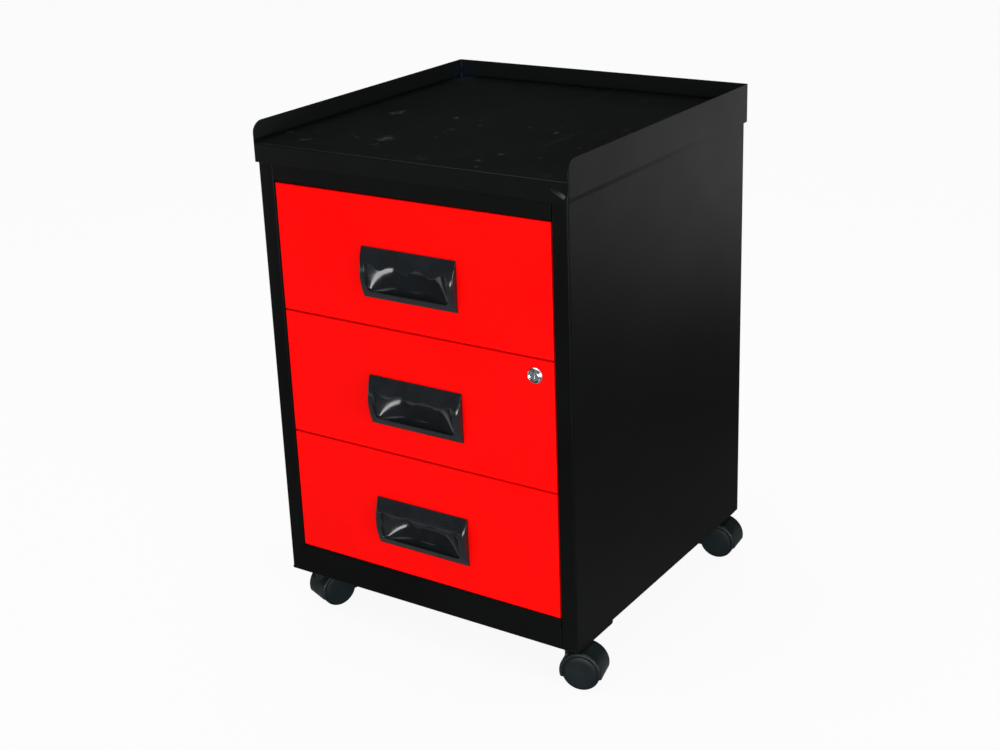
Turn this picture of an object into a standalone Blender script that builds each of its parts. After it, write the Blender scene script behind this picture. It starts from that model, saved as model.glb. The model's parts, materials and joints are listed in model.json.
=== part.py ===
"""Mobile drawer cart: a folded steel cabinet with three drawers on ball-bearing slides, a tray top, a cam
lock and four hooded twin-wheel casters. Metres, +Z up, front towards -Y, the floor at z = 0."""

from math import cos, hypot, pi, radians, sin

import bmesh
import bpy
from mathutils import Matrix, Vector

# Clearances and sheet metal
GAP = 0.0003
OVERRUN = 0.010
MERGE_DISTANCE = 0.000002
SHEET = 0.0012
BEND_RADIUS = 0.0020
BEND_STEPS = 2
ROUND_STEPS = 4
CORNER_STEPS = 3
SMOOTH_DEGREES = 38.0

# Cabinet
BODY_WIDTH = 0.400
BODY_DEPTH = 0.400
BODY_HEIGHT = 0.527
SIDE_LIFT = 0.004
STILE_WIDTH = 0.020
STILE_RETURN = 0.034
REAR_RETURN = 0.015
BACK_RETURN = 0.010
SILL_HEIGHT = 0.0366
SILL_DEPTH = 0.078
CHANNEL_FLANGE = 0.020
TOP_RAIL_HEIGHT = 0.0423
RAIL_RETURN = 0.016
RAIL_HEM = 0.008
BASE_FLANGE = 0.012
BASE_CLEARANCE = 0.002
POST_DEPTH = 0.030
POST_CLEARANCE = 0.002

# Tray top
TRAY_OVERHANG = 0.0028
TRAY_SKIRT = 0.022
TRAY_LIP = 0.0225
TRAY_CORNER_RADIUS = 0.016
TRAY_CORNER_STEPS = 6

# Drawers
DRAWER_COUNT = 3
DRAWER_EDGE_GAP = 0.0012
DRAWER_GAP = 0.0016
FRONT_RECESS = 0.0008
FRONT_DEPTH = 0.018
FRONT_RETURN = 0.0135
FRONT_BEND_RADIUS = 0.0011
BOX_LIFT = 0.0085
BOX_HEIGHT = 0.088
BOX_OVERHANG = 0.005
BOX_HEM = 0.005

# Ball-bearing slides
SLIDE_THICKNESS = 0.0127
SLIDE_HEIGHT = 0.035
SLIDE_SETBACK = 0.002
SLIDE_REAR_ROOM = 0.0392
SLIDE_BEND_RADIUS = 0.0015
RACE_REACH = 0.0098
RACE_CURL = 0.0020
BALL_RADIUS = 0.0022
BALL_SEAT = 0.0058
BALL_SEGMENTS = 8
BALL_RINGS = 4
BALLS_IN_ROW = 4
BALL_PITCH = 0.024
CAGE_SHEET = 0.0008
CAGE_LENGTH = 0.086
CAGE_BEND_RADIUS = 0.0010
CAGE_STANDOFF = 0.0022
CAGE_TAB = 0.0060
INNER_REACH = 0.0080

# Recessed handles
HANDLE_WIDTH = 0.124
HANDLE_HEIGHT = 0.0575
HANDLE_PROUD = 0.010
HANDLE_EDGE = 0.0014
HANDLE_DROP = 0.0117
HANDLE_ARC_STEPS = 10
HANDLE_END_RADIUS = 0.0040
CUP_WIDTH = 0.114
CUP_HEIGHT = 0.049
CUP_DEPTH = 0.0155
CUP_CORNER_RADIUS = 0.003
SCOOP_WIDTH = 0.108
SCOOP_DEPTH = 0.0135
SCOOP_HEIGHT = 0.041
SCOOP_END = -0.0035
SCOOP_SWEEP = 0.038
SCOOP_END_RADIUS = 0.006
SCOOP_STEPS = 5
HOOD_SHELL = 0.0036
LIP_HEIGHT = 0.0096
LIP_WAVE = 0.0033
LIP_PITCH = 0.034
LIP_STEPS = 24

# Cam lock
LOCKED_INDEX = 1
LOCK_INSET = 0.0228
LOCK_DROP = 0.0179
LOCK_FACE_RADIUS = 0.0093
LOCK_FACE_PROUD = 0.0030
LOCK_FACE_CHAMFER = 0.0010
BARREL_RADIUS = 0.0080
BARREL_LENGTH = 0.0215
PLUG_RADIUS = 0.0056
PLUG_CLEARANCE = 0.00015
PLUG_TAIL_RADIUS = 0.0035
KEY_SLOT_WIDTH = 0.0014
KEY_SLOT_HEIGHT = 0.0070
KEY_SLOT_DEPTH = 0.0060
CAM_THICKNESS = 0.0020
CAM_ENGAGEMENT = 0.003
CAM_RADIUS = 0.0060
CAM_TIP_WIDTH = 0.0060
STRIKE_CLEARANCE = 0.0015
LOCK_SEGMENTS = 24

# Casters
CASTER_HEIGHT = 0.050
PLATE_SIZE = 0.030
PLATE_THICKNESS = 0.0022
PLATE_CORNER_RADIUS = 0.004
PLATE_CORNER_STEPS = 2
PINTLE_RADIUS = 0.0033
PINTLE_LENGTH = 0.022
SHAFT_CLEARANCE = 0.00015
TRAIL_LENGTH = 0.014
WHEEL_RADIUS = 0.0218
WHEEL_WIDTH = 0.0108
WHEEL_CHAMFER = 0.0012
WHEEL_DOME = 0.0018
WHEEL_DOME_SHARES = ((0.8, 0.55), (0.45, 0.9))
WHEEL_SEGMENTS = 24
WHEEL_SIDE_CLEARANCE = 0.0005
AXLE_RADIUS = 0.0025
AXLE_SEGMENTS = 12
HUB_BORE_SHARE = 0.8
WEB_HALF_WIDTH = 0.0052
HOOD_CLEARANCE = 0.0012
HOOD_WALL = 0.0014
HOOD_HALF_WIDTH = 0.0168
HOOD_SEGMENTS = 32
HOOD_FRONT_DEPTH = 0.007
HOOD_REAR_DEPTH = 0.005
COLLAR_RADIUS = 0.0080
COLLAR_SEGMENTS = 16
EYE_RADIUS = 0.0075

# How far each caster's pintle stands in from the cabinet's side, and from its front or rear
CASTER_INSETS = {
    "front_right": (0.020, 0.0215),
    "rear_right": (0.027, 0.024),
    "front_left": (0.028, 0.020),
    "rear_left": (0.020, 0.024),
}

# Where each caster has swivelled to, in degrees: 0 trails to the right, 90 to the back
CASTER_TURNS = {
    "front_right": 14.0,
    "rear_right": 6.0,
    "front_left": 68.0,
    "rear_left": 166.0,
}

# Sizes that follow
HALF_WIDTH = BODY_WIDTH / 2
OPENING_HALF = HALF_WIDTH - STILE_WIDTH
OPENING_TOP = BODY_HEIGHT - TOP_RAIL_HEIGHT
SHELL_TOP = BODY_HEIGHT - SHEET - GAP
BODY_BASE = CASTER_HEIGHT + GAP
FRONT_WIDTH = 2 * (OPENING_HALF - DRAWER_EDGE_GAP)
FRONT_HEIGHT = (
    OPENING_TOP - SILL_HEIGHT - 2 * DRAWER_EDGE_GAP - (DRAWER_COUNT - 1) * DRAWER_GAP
) / DRAWER_COUNT
SLIDE_PLANE = OPENING_HALF - GAP
SLIDE_START = FRONT_RECESS + FRONT_DEPTH + SLIDE_SETBACK
SLIDE_LENGTH = BODY_DEPTH - SLIDE_START - SLIDE_REAR_ROOM
SLIDE_LEVEL = BOX_LIFT + BOX_HEIGHT / 2
BOX_LENGTH = SLIDE_LENGTH + BOX_OVERHANG
BALL_LEVEL = SLIDE_HEIGHT / 2 - SHEET - GAP - BALL_RADIUS
INNER_HALF_HEIGHT = BALL_LEVEL - BALL_RADIUS - GAP
BOX_HALF_WIDTH = SLIDE_PLANE - SLIDE_THICKNESS - GAP
HANDLE_LEVEL = FRONT_HEIGHT / 2 - HANDLE_DROP
LOCK_ACROSS = FRONT_WIDTH / 2 - LOCK_INSET
LOCK_LEVEL = FRONT_HEIGHT - LOCK_DROP
STRIKE_DISTANCE = OPENING_HALF - LOCK_ACROSS
CAM_REACH = STRIKE_DISTANCE + CAM_ENGAGEMENT
CAM_START = FRONT_RECESS + BARREL_LENGTH + GAP
WHEEL_INNER = WEB_HALF_WIDTH + WHEEL_SIDE_CLEARANCE
HOOD_BORE = WHEEL_RADIUS + HOOD_CLEARANCE
HOOD_RADIUS = HOOD_BORE + HOOD_WALL


def material(name, colour, roughness, metallic=0.0):
    """A Principled material with one colour, made once."""
    if name in bpy.data.materials:
        return bpy.data.materials[name]
    made = bpy.data.materials.new(name)
    made.use_nodes = True
    shader = made.node_tree.nodes["Principled BSDF"]
    shader.inputs["Base Color"].default_value = (*colour, 1.0)
    shader.inputs["Roughness"].default_value = roughness
    shader.inputs["Metallic"].default_value = metallic
    made.diffuse_color = (*colour, 1.0)
    return made


def black_paint():
    return material("black_paint", (0.012, 0.013, 0.013), 0.35)


def red_paint():
    return material("red_paint", (0.90, 0.004, 0.002), 0.38)


def handle_plastic():
    return material("handle_plastic", (0.016, 0.019, 0.021), 0.28)


def caster_plastic():
    return material("caster_plastic", (0.018, 0.024, 0.026), 0.42)


def zinc_plate():
    return material("zinc_plate", (0.48, 0.49, 0.48), 0.38, 1.0)


def chrome():
    return material("chrome", (0.62, 0.62, 0.63), 0.16, 1.0)


def frame_at(name, parent, place, turn=0.0):
    """An empty that carries what moves together, turned about the vertical."""
    made = bpy.data.objects.new(name, None)
    bpy.context.scene.collection.objects.link(made)
    made.parent = parent
    made.location = place
    made.rotation_euler = (0.0, 0.0, turn)
    return made


def solid(name, shape, finish=None):
    """The object of a bmesh, with its faces turned outwards."""
    bmesh.ops.recalc_face_normals(shape, faces=shape.faces)
    mesh = bpy.data.meshes.new(name)
    shape.to_mesh(mesh)
    shape.free()
    if finish:
        mesh.materials.append(finish)
    made = bpy.data.objects.new(name, mesh)
    bpy.context.scene.collection.objects.link(made)
    return made


def combine(piece, shape, operation):
    """Applies one Boolean to the piece and removes the shape that it used."""
    tool = solid("tool", shape)
    modifier = piece.modifiers.new("combine", "BOOLEAN")
    modifier.operation = operation
    modifier.object = tool
    graph = bpy.context.evaluated_depsgraph_get()
    combined = bpy.data.meshes.new_from_object(piece.evaluated_get(graph))
    piece.modifiers.clear()
    piece.data = combined
    bpy.data.objects.remove(tool)


def cut(piece, shape):
    combine(piece, shape, "DIFFERENCE")


def join(piece, shape):
    combine(piece, shape, "UNION")


def place(piece, parent, spot=(0.0, 0.0, 0.0), turn=0.0, smooth=False):
    """Hangs the finished piece on its carrier, and shades round faces smooth."""
    piece.parent = parent
    piece.location = spot
    piece.rotation_euler = (0.0, 0.0, turn)
    if smooth:
        piece.data.shade_smooth()
        piece.data.set_sharp_from_angle(angle=radians(SMOOTH_DEGREES))
    return piece


def copy_of(piece, name):
    """Another object with the same mesh."""
    made = bpy.data.objects.new(name, piece.data)
    bpy.context.scene.collection.objects.link(made)
    return made


def block(low, high):
    """A box between two corners."""
    shape = bmesh.new()
    low, high = Vector(low), Vector(high)
    matrix = Matrix.Translation((low + high) / 2) @ Matrix.Diagonal((*(high - low), 1.0))
    bmesh.ops.create_cube(shape, size=1.0, matrix=matrix)
    return shape


def prism(outline, axis, low, high):
    """The outline pulled along an axis. It holds (y, z) for X, (x, z) for Y and (x, y) for Z."""
    lift = {
        "X": lambda a, b: (low, a, b),
        "Y": lambda a, b: (a, low, b),
        "Z": lambda a, b: (a, b, low),
    }[axis]
    pull = {"X": (high - low, 0, 0), "Y": (0, high - low, 0), "Z": (0, 0, high - low)}[axis]
    shape = bmesh.new()
    face = shape.faces.new([shape.verts.new(lift(a, b)) for a, b in outline])
    grown = bmesh.ops.extrude_face_region(shape, geom=[face])["geom"]
    moved = [item for item in grown if isinstance(item, bmesh.types.BMVert)]
    bmesh.ops.translate(shape, verts=moved, vec=pull)
    return shape


def rod(radius, segments, axis, centre, low, high):
    """A cylinder along an axis, between two heights on it, through a centre across it."""
    shape = bmesh.new()
    turned_to = {
        "X": Matrix.Rotation(pi / 2, 4, "Y"),
        "Y": Matrix.Rotation(-pi / 2, 4, "X"),
        "Z": Matrix.Identity(4),
    }[axis]
    middle = (low + high) / 2
    spot = {
        "X": (middle, centre[0], centre[1]),
        "Y": (centre[0], middle, centre[1]),
        "Z": (centre[0], centre[1], middle),
    }[axis]
    bmesh.ops.create_cone(
        shape,
        cap_ends=True,
        segments=segments,
        radius1=radius,
        radius2=radius,
        depth=high - low,
        matrix=Matrix.Translation(spot) @ turned_to,
    )
    return shape


def turned(profile, segments, closed=False):
    """A profile of (radius, distance) points spun about the Y axis."""
    shape = bmesh.new()
    points = [shape.verts.new((radius, along, 0.0)) for radius, along in profile]
    pairs = list(zip(points, points[1:]))
    if closed:
        pairs.append((points[-1], points[0]))
    edges = [shape.edges.new(pair) for pair in pairs]
    bmesh.ops.spin(
        shape,
        geom=points + edges,
        cent=(0, 0, 0),
        axis=(0, 1, 0),
        angle=2 * pi,
        steps=segments,
        use_merge=True,
    )
    bmesh.ops.remove_doubles(shape, verts=shape.verts, dist=MERGE_DISTANCE)
    return shape


def arc(centre, radius, start, end, steps):
    """Points on a circle, from one angle to another in degrees."""
    angles = [radians(start + (end - start) * step / steps) for step in range(steps + 1)]
    return [(centre[0] + radius * cos(a), centre[1] + radius * sin(a)) for a in angles]


def bent_sheet(corners, radius=BEND_RADIUS, thickness=SHEET):
    """The outline of a sheet folded along the corners, with its thickness on their left."""
    points = [Vector(corner) for corner in corners]
    rows = []
    for index, point in enumerate(points):
        before = (point - points[index - 1]).normalized() if index else None
        after = (points[index + 1] - point).normalized() if index + 1 < len(points) else None
        if before is None or after is None:
            run = after or before
            rows.append((point, Vector((-run.y, run.x))))
            continue
        turn = after.to_3d().cross(before.to_3d()).z
        side = 1.0 if turn < 0 else -1.0
        start = point - before * radius
        centre = start + side * radius * Vector((-before.y, before.x))
        for step in range(BEND_STEPS + 1):
            angle = side * pi / 2 * step / BEND_STEPS
            spoke = Matrix.Rotation(angle, 2) @ (start - centre)
            rows.append((centre + spoke, -side * spoke.normalized()))
    outer = [tuple(point) for point, _ in rows]
    inner = [tuple(point + normal * thickness) for point, normal in rows]
    return outer + inner[::-1]


def rounded_rectangle(half_width, half_height, radius, steps=CORNER_STEPS):
    """A rectangle about the origin with round corners."""
    across, up = half_width - radius, half_height - radius
    return (
        arc((across, up), radius, 0, 90, steps)
        + arc((-across, up), radius, 90, 180, steps)
        + arc((-across, -up), radius, 180, 270, steps)
        + arc((across, -up), radius, 270, 360, steps)
    )


def mirrored(outline, side):
    """The outline on the right side, or mirrored to the left one."""
    return [(side * across, other) for across, other in outline]


def side_panel(name, side, frame):
    """Skin, front stile and rear return, folded from one sheet."""
    outline = bent_sheet(
        [
            (OPENING_HALF, STILE_RETURN),
            (OPENING_HALF, 0.0),
            (HALF_WIDTH, 0.0),
            (HALF_WIDTH, BODY_DEPTH),
            (HALF_WIDTH - REAR_RETURN, BODY_DEPTH),
        ]
    )
    panel = solid(name, prism(mirrored(outline, side), "Z", SIDE_LIFT, SHELL_TOP), black_paint())
    if side > 0:
        cut_strike(panel)
    return place(panel, frame)


def cut_strike(panel):
    """The slot in the stile's return that the lock's cam swings into, from below."""
    level = drawer_level(LOCKED_INDEX) + LOCK_LEVEL
    tip = hypot(CAM_REACH, CAM_TIP_WIDTH / 2)
    sweep = (tip**2 - STRIKE_DISTANCE**2) ** 0.5
    low = level - sweep - STRIKE_CLEARANCE
    high = level + CAM_RADIUS + STRIKE_CLEARANCE
    front = CAM_START - STRIKE_CLEARANCE
    rear = CAM_START + CAM_THICKNESS + STRIKE_CLEARANCE
    cut(panel, block((OPENING_HALF - OVERRUN, front, low), (OPENING_HALF + OVERRUN, rear, high)))


def back_panel(frame):
    """The rear sheet, in front of the side panels' returns."""
    half = HALF_WIDTH - SHEET - GAP
    rear = BODY_DEPTH - SHEET - GAP
    outline = bent_sheet(
        [(half, rear - BACK_RETURN), (half, rear), (-half, rear), (-half, rear - BACK_RETURN)]
    )
    return place(solid("back_panel", prism(outline, "Z", SIDE_LIFT, SHELL_TOP), black_paint()), frame)


def base_panel(frame):
    """The floor sheet, resting on the two caster channels."""
    half = HALF_WIDTH - SHEET - GAP
    low = CHANNEL_FLANGE + GAP
    outline = bent_sheet(
        [(-half, low + BASE_FLANGE), (-half, low), (half, low), (half, low + BASE_FLANGE)]
    )
    front = STILE_RETURN + BASE_CLEARANCE
    rear = BODY_DEPTH - SHEET - GAP - BACK_RETURN - GAP
    return place(solid("base_panel", prism(outline, "Y", front, rear), black_paint()), frame)


def front_top_rail(frame):
    """The rail between the stiles, behind the tray's skirt."""
    outline = bent_sheet(
        [
            (RAIL_RETURN, SHELL_TOP),
            (0.0, SHELL_TOP),
            (0.0, OPENING_TOP),
            (RAIL_RETURN, OPENING_TOP),
            (RAIL_RETURN, OPENING_TOP + RAIL_HEM),
        ]
    )
    half = OPENING_HALF - GAP
    return place(solid("front_top_rail", prism(outline, "X", -half, half), black_paint()), frame)


def front_sill(frame):
    """The bottom rail and the front caster channel, one folded piece that runs under the side panels."""
    outline = bent_sheet(
        [
            (RAIL_RETURN, SILL_HEIGHT - RAIL_HEM),
            (RAIL_RETURN, SILL_HEIGHT),
            (0.0, SILL_HEIGHT),
            (0.0, 0.0),
            (SILL_DEPTH, 0.0),
            (SILL_DEPTH, CHANNEL_FLANGE),
        ]
    )
    sill = solid("front_sill", prism(outline, "X", -HALF_WIDTH, HALF_WIDTH), black_paint())
    rim_top = SIDE_LIFT - GAP
    for side in (-1, 1):
        inner = side * (OPENING_HALF - GAP)
        outer = side * (HALF_WIDTH + OVERRUN)
        cut(
            sill,
            block(
                (min(inner, outer), -OVERRUN, rim_top),
                (max(inner, outer), SILL_DEPTH + OVERRUN, SILL_HEIGHT + OVERRUN),
            ),
        )
        face = side * HALF_WIDTH
        inside = side * (HALF_WIDTH - SHEET)
        join(
            sill,
            block(
                (min(face, inside), SHEET / 2, SHEET / 2),
                (max(face, inside), SILL_DEPTH - SHEET / 2, rim_top),
            ),
        )
    return place(sill, frame)


def base_channel_rear(frame):
    """The rear caster channel."""
    rear = BODY_DEPTH - 2 * SHEET - 2 * GAP
    front = rear - SILL_DEPTH
    outline = bent_sheet(
        [(front, CHANNEL_FLANGE), (front, 0.0), (rear, 0.0), (rear, CHANNEL_FLANGE)]
    )
    half = HALF_WIDTH - 2 * SHEET - 2 * GAP
    return place(
        solid("base_channel_rear", prism(outline, "X", -half, half), black_paint()), frame
    )


def rear_post(name, side, frame):
    """An upright channel that holds the rear ends of the slides."""
    rear = SLIDE_START + SLIDE_LENGTH
    front = rear - POST_DEPTH
    outer = HALF_WIDTH - 2 * SHEET - POST_CLEARANCE
    outline = bent_sheet(
        [(outer, rear), (OPENING_HALF, rear), (OPENING_HALF, front), (outer, front)]
    )
    low = CHANNEL_FLANGE + SHEET + 2 * GAP
    return place(
        solid(name, prism(mirrored(outline, side), "Z", low, SHELL_TOP), black_paint()), frame
    )


def tray_top(frame):
    """Tray floor with a lip on three sides, an open front and a skirt over the cabinet's edge."""
    half = HALF_WIDTH + TRAY_OVERHANG
    front, rear = -TRAY_OVERHANG, BODY_DEPTH + TRAY_OVERHANG
    low, high = BODY_HEIGHT - TRAY_SKIRT, BODY_HEIGHT + TRAY_LIP
    shape = block((-half, front, low), (half, rear, high))
    corners = [edge for edge in shape.edges if is_upright(edge)]
    bmesh.ops.bevel(
        shape,
        geom=corners,
        offset=BEND_RADIUS,
        segments=BEND_STEPS,
        affect="EDGES",
        profile=0.5,
        material=-1,
    )
    tray = solid("tray_top", shape, black_paint())
    well = [
        (rear - SHEET, high + OVERRUN),
        (rear - SHEET, BODY_HEIGHT),
        *arc((front + BEND_RADIUS, BODY_HEIGHT - BEND_RADIUS), BEND_RADIUS, 90, 180, BEND_STEPS),
        (front - OVERRUN, BODY_HEIGHT - BEND_RADIUS),
        (front - OVERRUN, high + OVERRUN),
    ]
    cut(tray, prism(well, "X", -half + SHEET, half - SHEET))
    underside = block(
        (-half + SHEET, front + SHEET, low - OVERRUN),
        (half - SHEET, rear - SHEET, BODY_HEIGHT - SHEET),
    )
    cut(tray, underside)
    centre = (front + TRAY_CORNER_RADIUS, high - TRAY_CORNER_RADIUS)
    nose = [
        (front - OVERRUN, high + OVERRUN),
        (centre[0], high + OVERRUN),
        *arc(centre, TRAY_CORNER_RADIUS, 90, 180, TRAY_CORNER_STEPS),
        (front - OVERRUN, centre[1]),
    ]
    cut(tray, prism(nose, "X", -half - OVERRUN, half + OVERRUN))
    return place(tray, frame)


def is_upright(edge):
    """Whether an edge runs straight up."""
    run = edge.verts[0].co - edge.verts[1].co
    return abs(run.x) < MERGE_DISTANCE and abs(run.y) < MERGE_DISTANCE


def cabinet(frame):
    """Every fixed sheet of the cabinet."""
    side_panel("side_panel_left", -1, frame)
    side_panel("side_panel_right", 1, frame)
    back_panel(frame)
    base_panel(frame)
    front_top_rail(frame)
    front_sill(frame)
    base_channel_rear(frame)
    rear_post("rear_post_left", -1, frame)
    rear_post("rear_post_right", 1, frame)
    tray_top(frame)


def drawer_level(index):
    """The height of a drawer front's lower edge; drawer 0 is the top one."""
    from_bottom = DRAWER_COUNT - 1 - index
    return SILL_HEIGHT + DRAWER_EDGE_GAP + from_bottom * (FRONT_HEIGHT + DRAWER_GAP)


def drawer_front(number, locked, frame):
    """The folded red pan, whose returns meet the box, with cut-outs for its handle and any lock."""
    half = FRONT_WIDTH / 2
    shape = block((-half, FRONT_RECESS, 0.0), (half, FRONT_RECESS + FRONT_DEPTH, FRONT_HEIGHT))
    face_edges = [
        edge
        for edge in shape.edges
        if all(abs(vert.co.y - FRONT_RECESS) < MERGE_DISTANCE for vert in edge.verts)
    ]
    bmesh.ops.bevel(
        shape,
        geom=face_edges,
        offset=FRONT_BEND_RADIUS,
        segments=BEND_STEPS,
        affect="EDGES",
        profile=0.5,
        material=-1,
    )
    front = solid(f"drawer_front_{number}", shape, red_paint())
    rear = FRONT_RECESS + FRONT_DEPTH + OVERRUN
    cut(
        front,
        block(
            (-half + SHEET, FRONT_RECESS + SHEET, SHEET),
            (half - SHEET, FRONT_RECESS + FRONT_DEPTH - SHEET, FRONT_HEIGHT - SHEET),
        ),
    )
    cut(
        front,
        block(
            (-half + FRONT_RETURN, FRONT_RECESS + FRONT_DEPTH / 2, FRONT_RETURN),
            (half - FRONT_RETURN, rear, FRONT_HEIGHT - FRONT_RETURN),
        ),
    )
    hole = rounded_rectangle(
        CUP_WIDTH / 2 + GAP, CUP_HEIGHT / 2 + GAP, CUP_CORNER_RADIUS + GAP
    )
    opening = [(across, HANDLE_LEVEL + up) for across, up in hole]
    cut(front, prism(opening, "Y", -OVERRUN, rear))
    if locked:
        bore = BARREL_RADIUS + GAP
        spot = (LOCK_ACROSS, LOCK_LEVEL)
        cut(front, rod(bore, LOCK_SEGMENTS, "Y", spot, -OVERRUN, rear))
    return place(front, frame)


def drawer_box(number, frame):
    """Floor and sides folded from one sheet with hemmed edges, and two end walls."""
    half, low, high = BOX_HALF_WIDTH, BOX_LIFT, BOX_LIFT + BOX_HEIGHT
    outline = bent_sheet(
        [
            (-half + BOX_HEM, high),
            (-half, high),
            (-half, low),
            (half, low),
            (half, high),
            (half - BOX_HEM, high),
        ]
    )
    front = FRONT_RECESS + FRONT_DEPTH + GAP
    rear = front + BOX_LENGTH
    box = solid(f"drawer_box_{number}", prism(outline, "Y", front, rear), black_paint())
    inset = SHEET / 2
    for wall in (front + inset, rear - inset - SHEET):
        join(
            box,
            block(
                (-half + inset, wall, low + inset),
                (half - inset, wall + SHEET, high - inset),
            ),
        )
    return place(box, frame)


def cabinet_member(name, side, frame, spot):
    """The slide's outer channel, with the races curled in at its edges."""
    top = SLIDE_HEIGHT / 2
    outline = bent_sheet(
        [
            (RACE_REACH, top - RACE_CURL - SHEET),
            (RACE_REACH, top),
            (0.0, top),
            (0.0, -top),
            (RACE_REACH, -top),
            (RACE_REACH, -top + RACE_CURL + SHEET),
        ],
        SLIDE_BEND_RADIUS,
    )
    member = solid(name, prism(mirrored(outline, -side), "Y", 0.0, SLIDE_LENGTH), zinc_plate())
    return place(member, frame, spot)


def drawer_member(name, side, frame, spot):
    """The slide's inner channel, fixed to the drawer box."""
    reach = SLIDE_THICKNESS - INNER_REACH
    top = INNER_HALF_HEIGHT
    outline = bent_sheet(
        [(reach, -top), (SLIDE_THICKNESS, -top), (SLIDE_THICKNESS, top), (reach, top)],
        SLIDE_BEND_RADIUS,
    )
    member = solid(name, prism(mirrored(outline, -side), "Y", 0.0, SLIDE_LENGTH), zinc_plate())
    return place(member, frame, spot)


def ball_row_starts():
    """Where each ball lies along the cage."""
    first = (CAGE_LENGTH - (BALLS_IN_ROW - 1) * BALL_PITCH) / 2
    return [first + index * BALL_PITCH for index in range(BALLS_IN_ROW)]


def ball_cage(name, side, frame, spot):
    """The strip that spaces two rows of balls between the channels."""
    top = BALL_LEVEL + CAGE_SHEET / 2
    reach = CAGE_STANDOFF + CAGE_TAB
    outline = bent_sheet(
        [(reach, top), (CAGE_STANDOFF, top), (CAGE_STANDOFF, -top), (reach, -top)],
        CAGE_BEND_RADIUS,
        CAGE_SHEET,
    )
    cage = solid(name, prism(mirrored(outline, -side), "Y", 0.0, CAGE_LENGTH), zinc_plate())
    balls = bmesh.new()
    for along in ball_row_starts():
        for level in (-BALL_LEVEL, BALL_LEVEL):
            bmesh.ops.create_uvsphere(
                balls,
                u_segments=BALL_SEGMENTS,
                v_segments=BALL_RINGS,
                radius=BALL_RADIUS,
                matrix=Matrix.Translation((-side * BALL_SEAT, along, level)),
            )
    join(cage, balls)
    return place(cage, frame, spot)


def slides(number, cabinet_frame, drawer_frame, level):
    """Both slides of a drawer: a cabinet member, a ball cage and a drawer member on each side."""
    cage_start = SLIDE_START + (SLIDE_LENGTH - CAGE_LENGTH) / 2
    for label, side in (("left", -1), ("right", 1)):
        across = side * SLIDE_PLANE
        fixed = (across, SLIDE_START, level + SLIDE_LEVEL)
        cabinet_member(f"slide_{number}_{label}_cabinet_member", side, cabinet_frame, fixed)
        caged = (across, cage_start, level + SLIDE_LEVEL)
        ball_cage(f"slide_{number}_{label}_ball_cage", side, cabinet_frame, caged)
        moving = (across, SLIDE_START, SLIDE_LEVEL)
        drawer_member(f"slide_{number}_{label}_drawer_member", side, drawer_frame, moving)


def bowed_front(proud, half_height):
    """The handle's side view: an arc from its lower to its upper edge, bulging to the front."""
    rise = proud - HANDLE_EDGE
    radius = (half_height**2 + rise**2) / (2 * rise)
    points = []
    for step in range(HANDLE_ARC_STEPS + 1):
        up = half_height * (2 * step / HANDLE_ARC_STEPS - 1)
        bulge = (radius**2 - up**2) ** 0.5 - (radius - rise)
        points.append((-HANDLE_EDGE - bulge, up))
    return points


def handle_plan():
    """The handle from above, with its two front corners rounded."""
    half, radius = HANDLE_WIDTH / 2, HANDLE_END_RADIUS
    centre = -HANDLE_PROUD + radius
    return [
        (half, OVERRUN),
        (-half, OVERRUN),
        *arc((-half + radius, centre), radius, 180, 270, ROUND_STEPS),
        *arc((half - radius, centre), radius, 270, 360, ROUND_STEPS),
    ]


def wavy_mouth():
    """The scoop's mouth in front view: round lower corners and a wavy upper lip."""
    half = SCOOP_WIDTH / 2
    bottom = -SCOOP_HEIGHT / 2
    lip = []
    for step in range(LIP_STEPS + 1):
        across = half - 2 * half * step / LIP_STEPS
        lip.append((across, LIP_HEIGHT - LIP_WAVE * cos(2 * pi * across / LIP_PITCH)))
    radius = SCOOP_END_RADIUS
    left = arc((-half + radius, bottom + radius), radius, 180, 270, ROUND_STEPS)
    right = arc((half - radius, bottom + radius), radius, 270, 360, ROUND_STEPS)
    return lip + left + right


def scoop_section():
    """The scoop in side view: in under the hood, and out over a curved floor to the lower lip."""
    half = SCOOP_HEIGHT / 2
    hood_back = -HANDLE_PROUD + HOOD_SHELL
    roof = arc((SCOOP_DEPTH - half / 2, half / 2), half / 2, 90, 0, ROUND_STEPS)
    floor = arc((SCOOP_DEPTH - half, 0.0), half, 0, -90, SCOOP_STEPS)
    mouth = LIP_HEIGHT - LIP_WAVE - HOOD_SHELL / 2
    return [
        (hood_back, LIP_HEIGHT + LIP_WAVE),
        (0.0, half),
        *roof,
        *floor,
        (-HANDLE_PROUD - OVERRUN, -half),
        (-HANDLE_PROUD - OVERRUN, mouth),
        (hood_back, mouth),
    ]


def scoop_plan():
    """The scoop from above: deep in the middle, and sweeping out to the front at both ends."""
    half = SCOOP_WIDTH / 2 - GAP
    curve = []
    for step in range(SCOOP_STEPS + 1):
        share = step / SCOOP_STEPS
        depth = SCOOP_END + (SCOOP_DEPTH - SCOOP_END) * (1 - (1 - share) ** 2)
        curve.append((half - SCOOP_SWEEP * share, depth))
    front = -HANDLE_PROUD - OVERRUN
    left = [(-across, depth) for across, depth in reversed(curve)]
    return [(half, front), *curve, *left, (-half, front)]


def scoop():
    """The room for the fingers: its side view, narrowed to its plan."""
    half = SCOOP_WIDTH / 2
    room = solid("scoop", prism(scoop_section(), "X", -half, half))
    combine(room, prism(scoop_plan(), "Z", -half, half), "INTERSECT")
    shape = bmesh.new()
    shape.from_mesh(room.data)
    bpy.data.objects.remove(room)
    return shape


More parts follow.
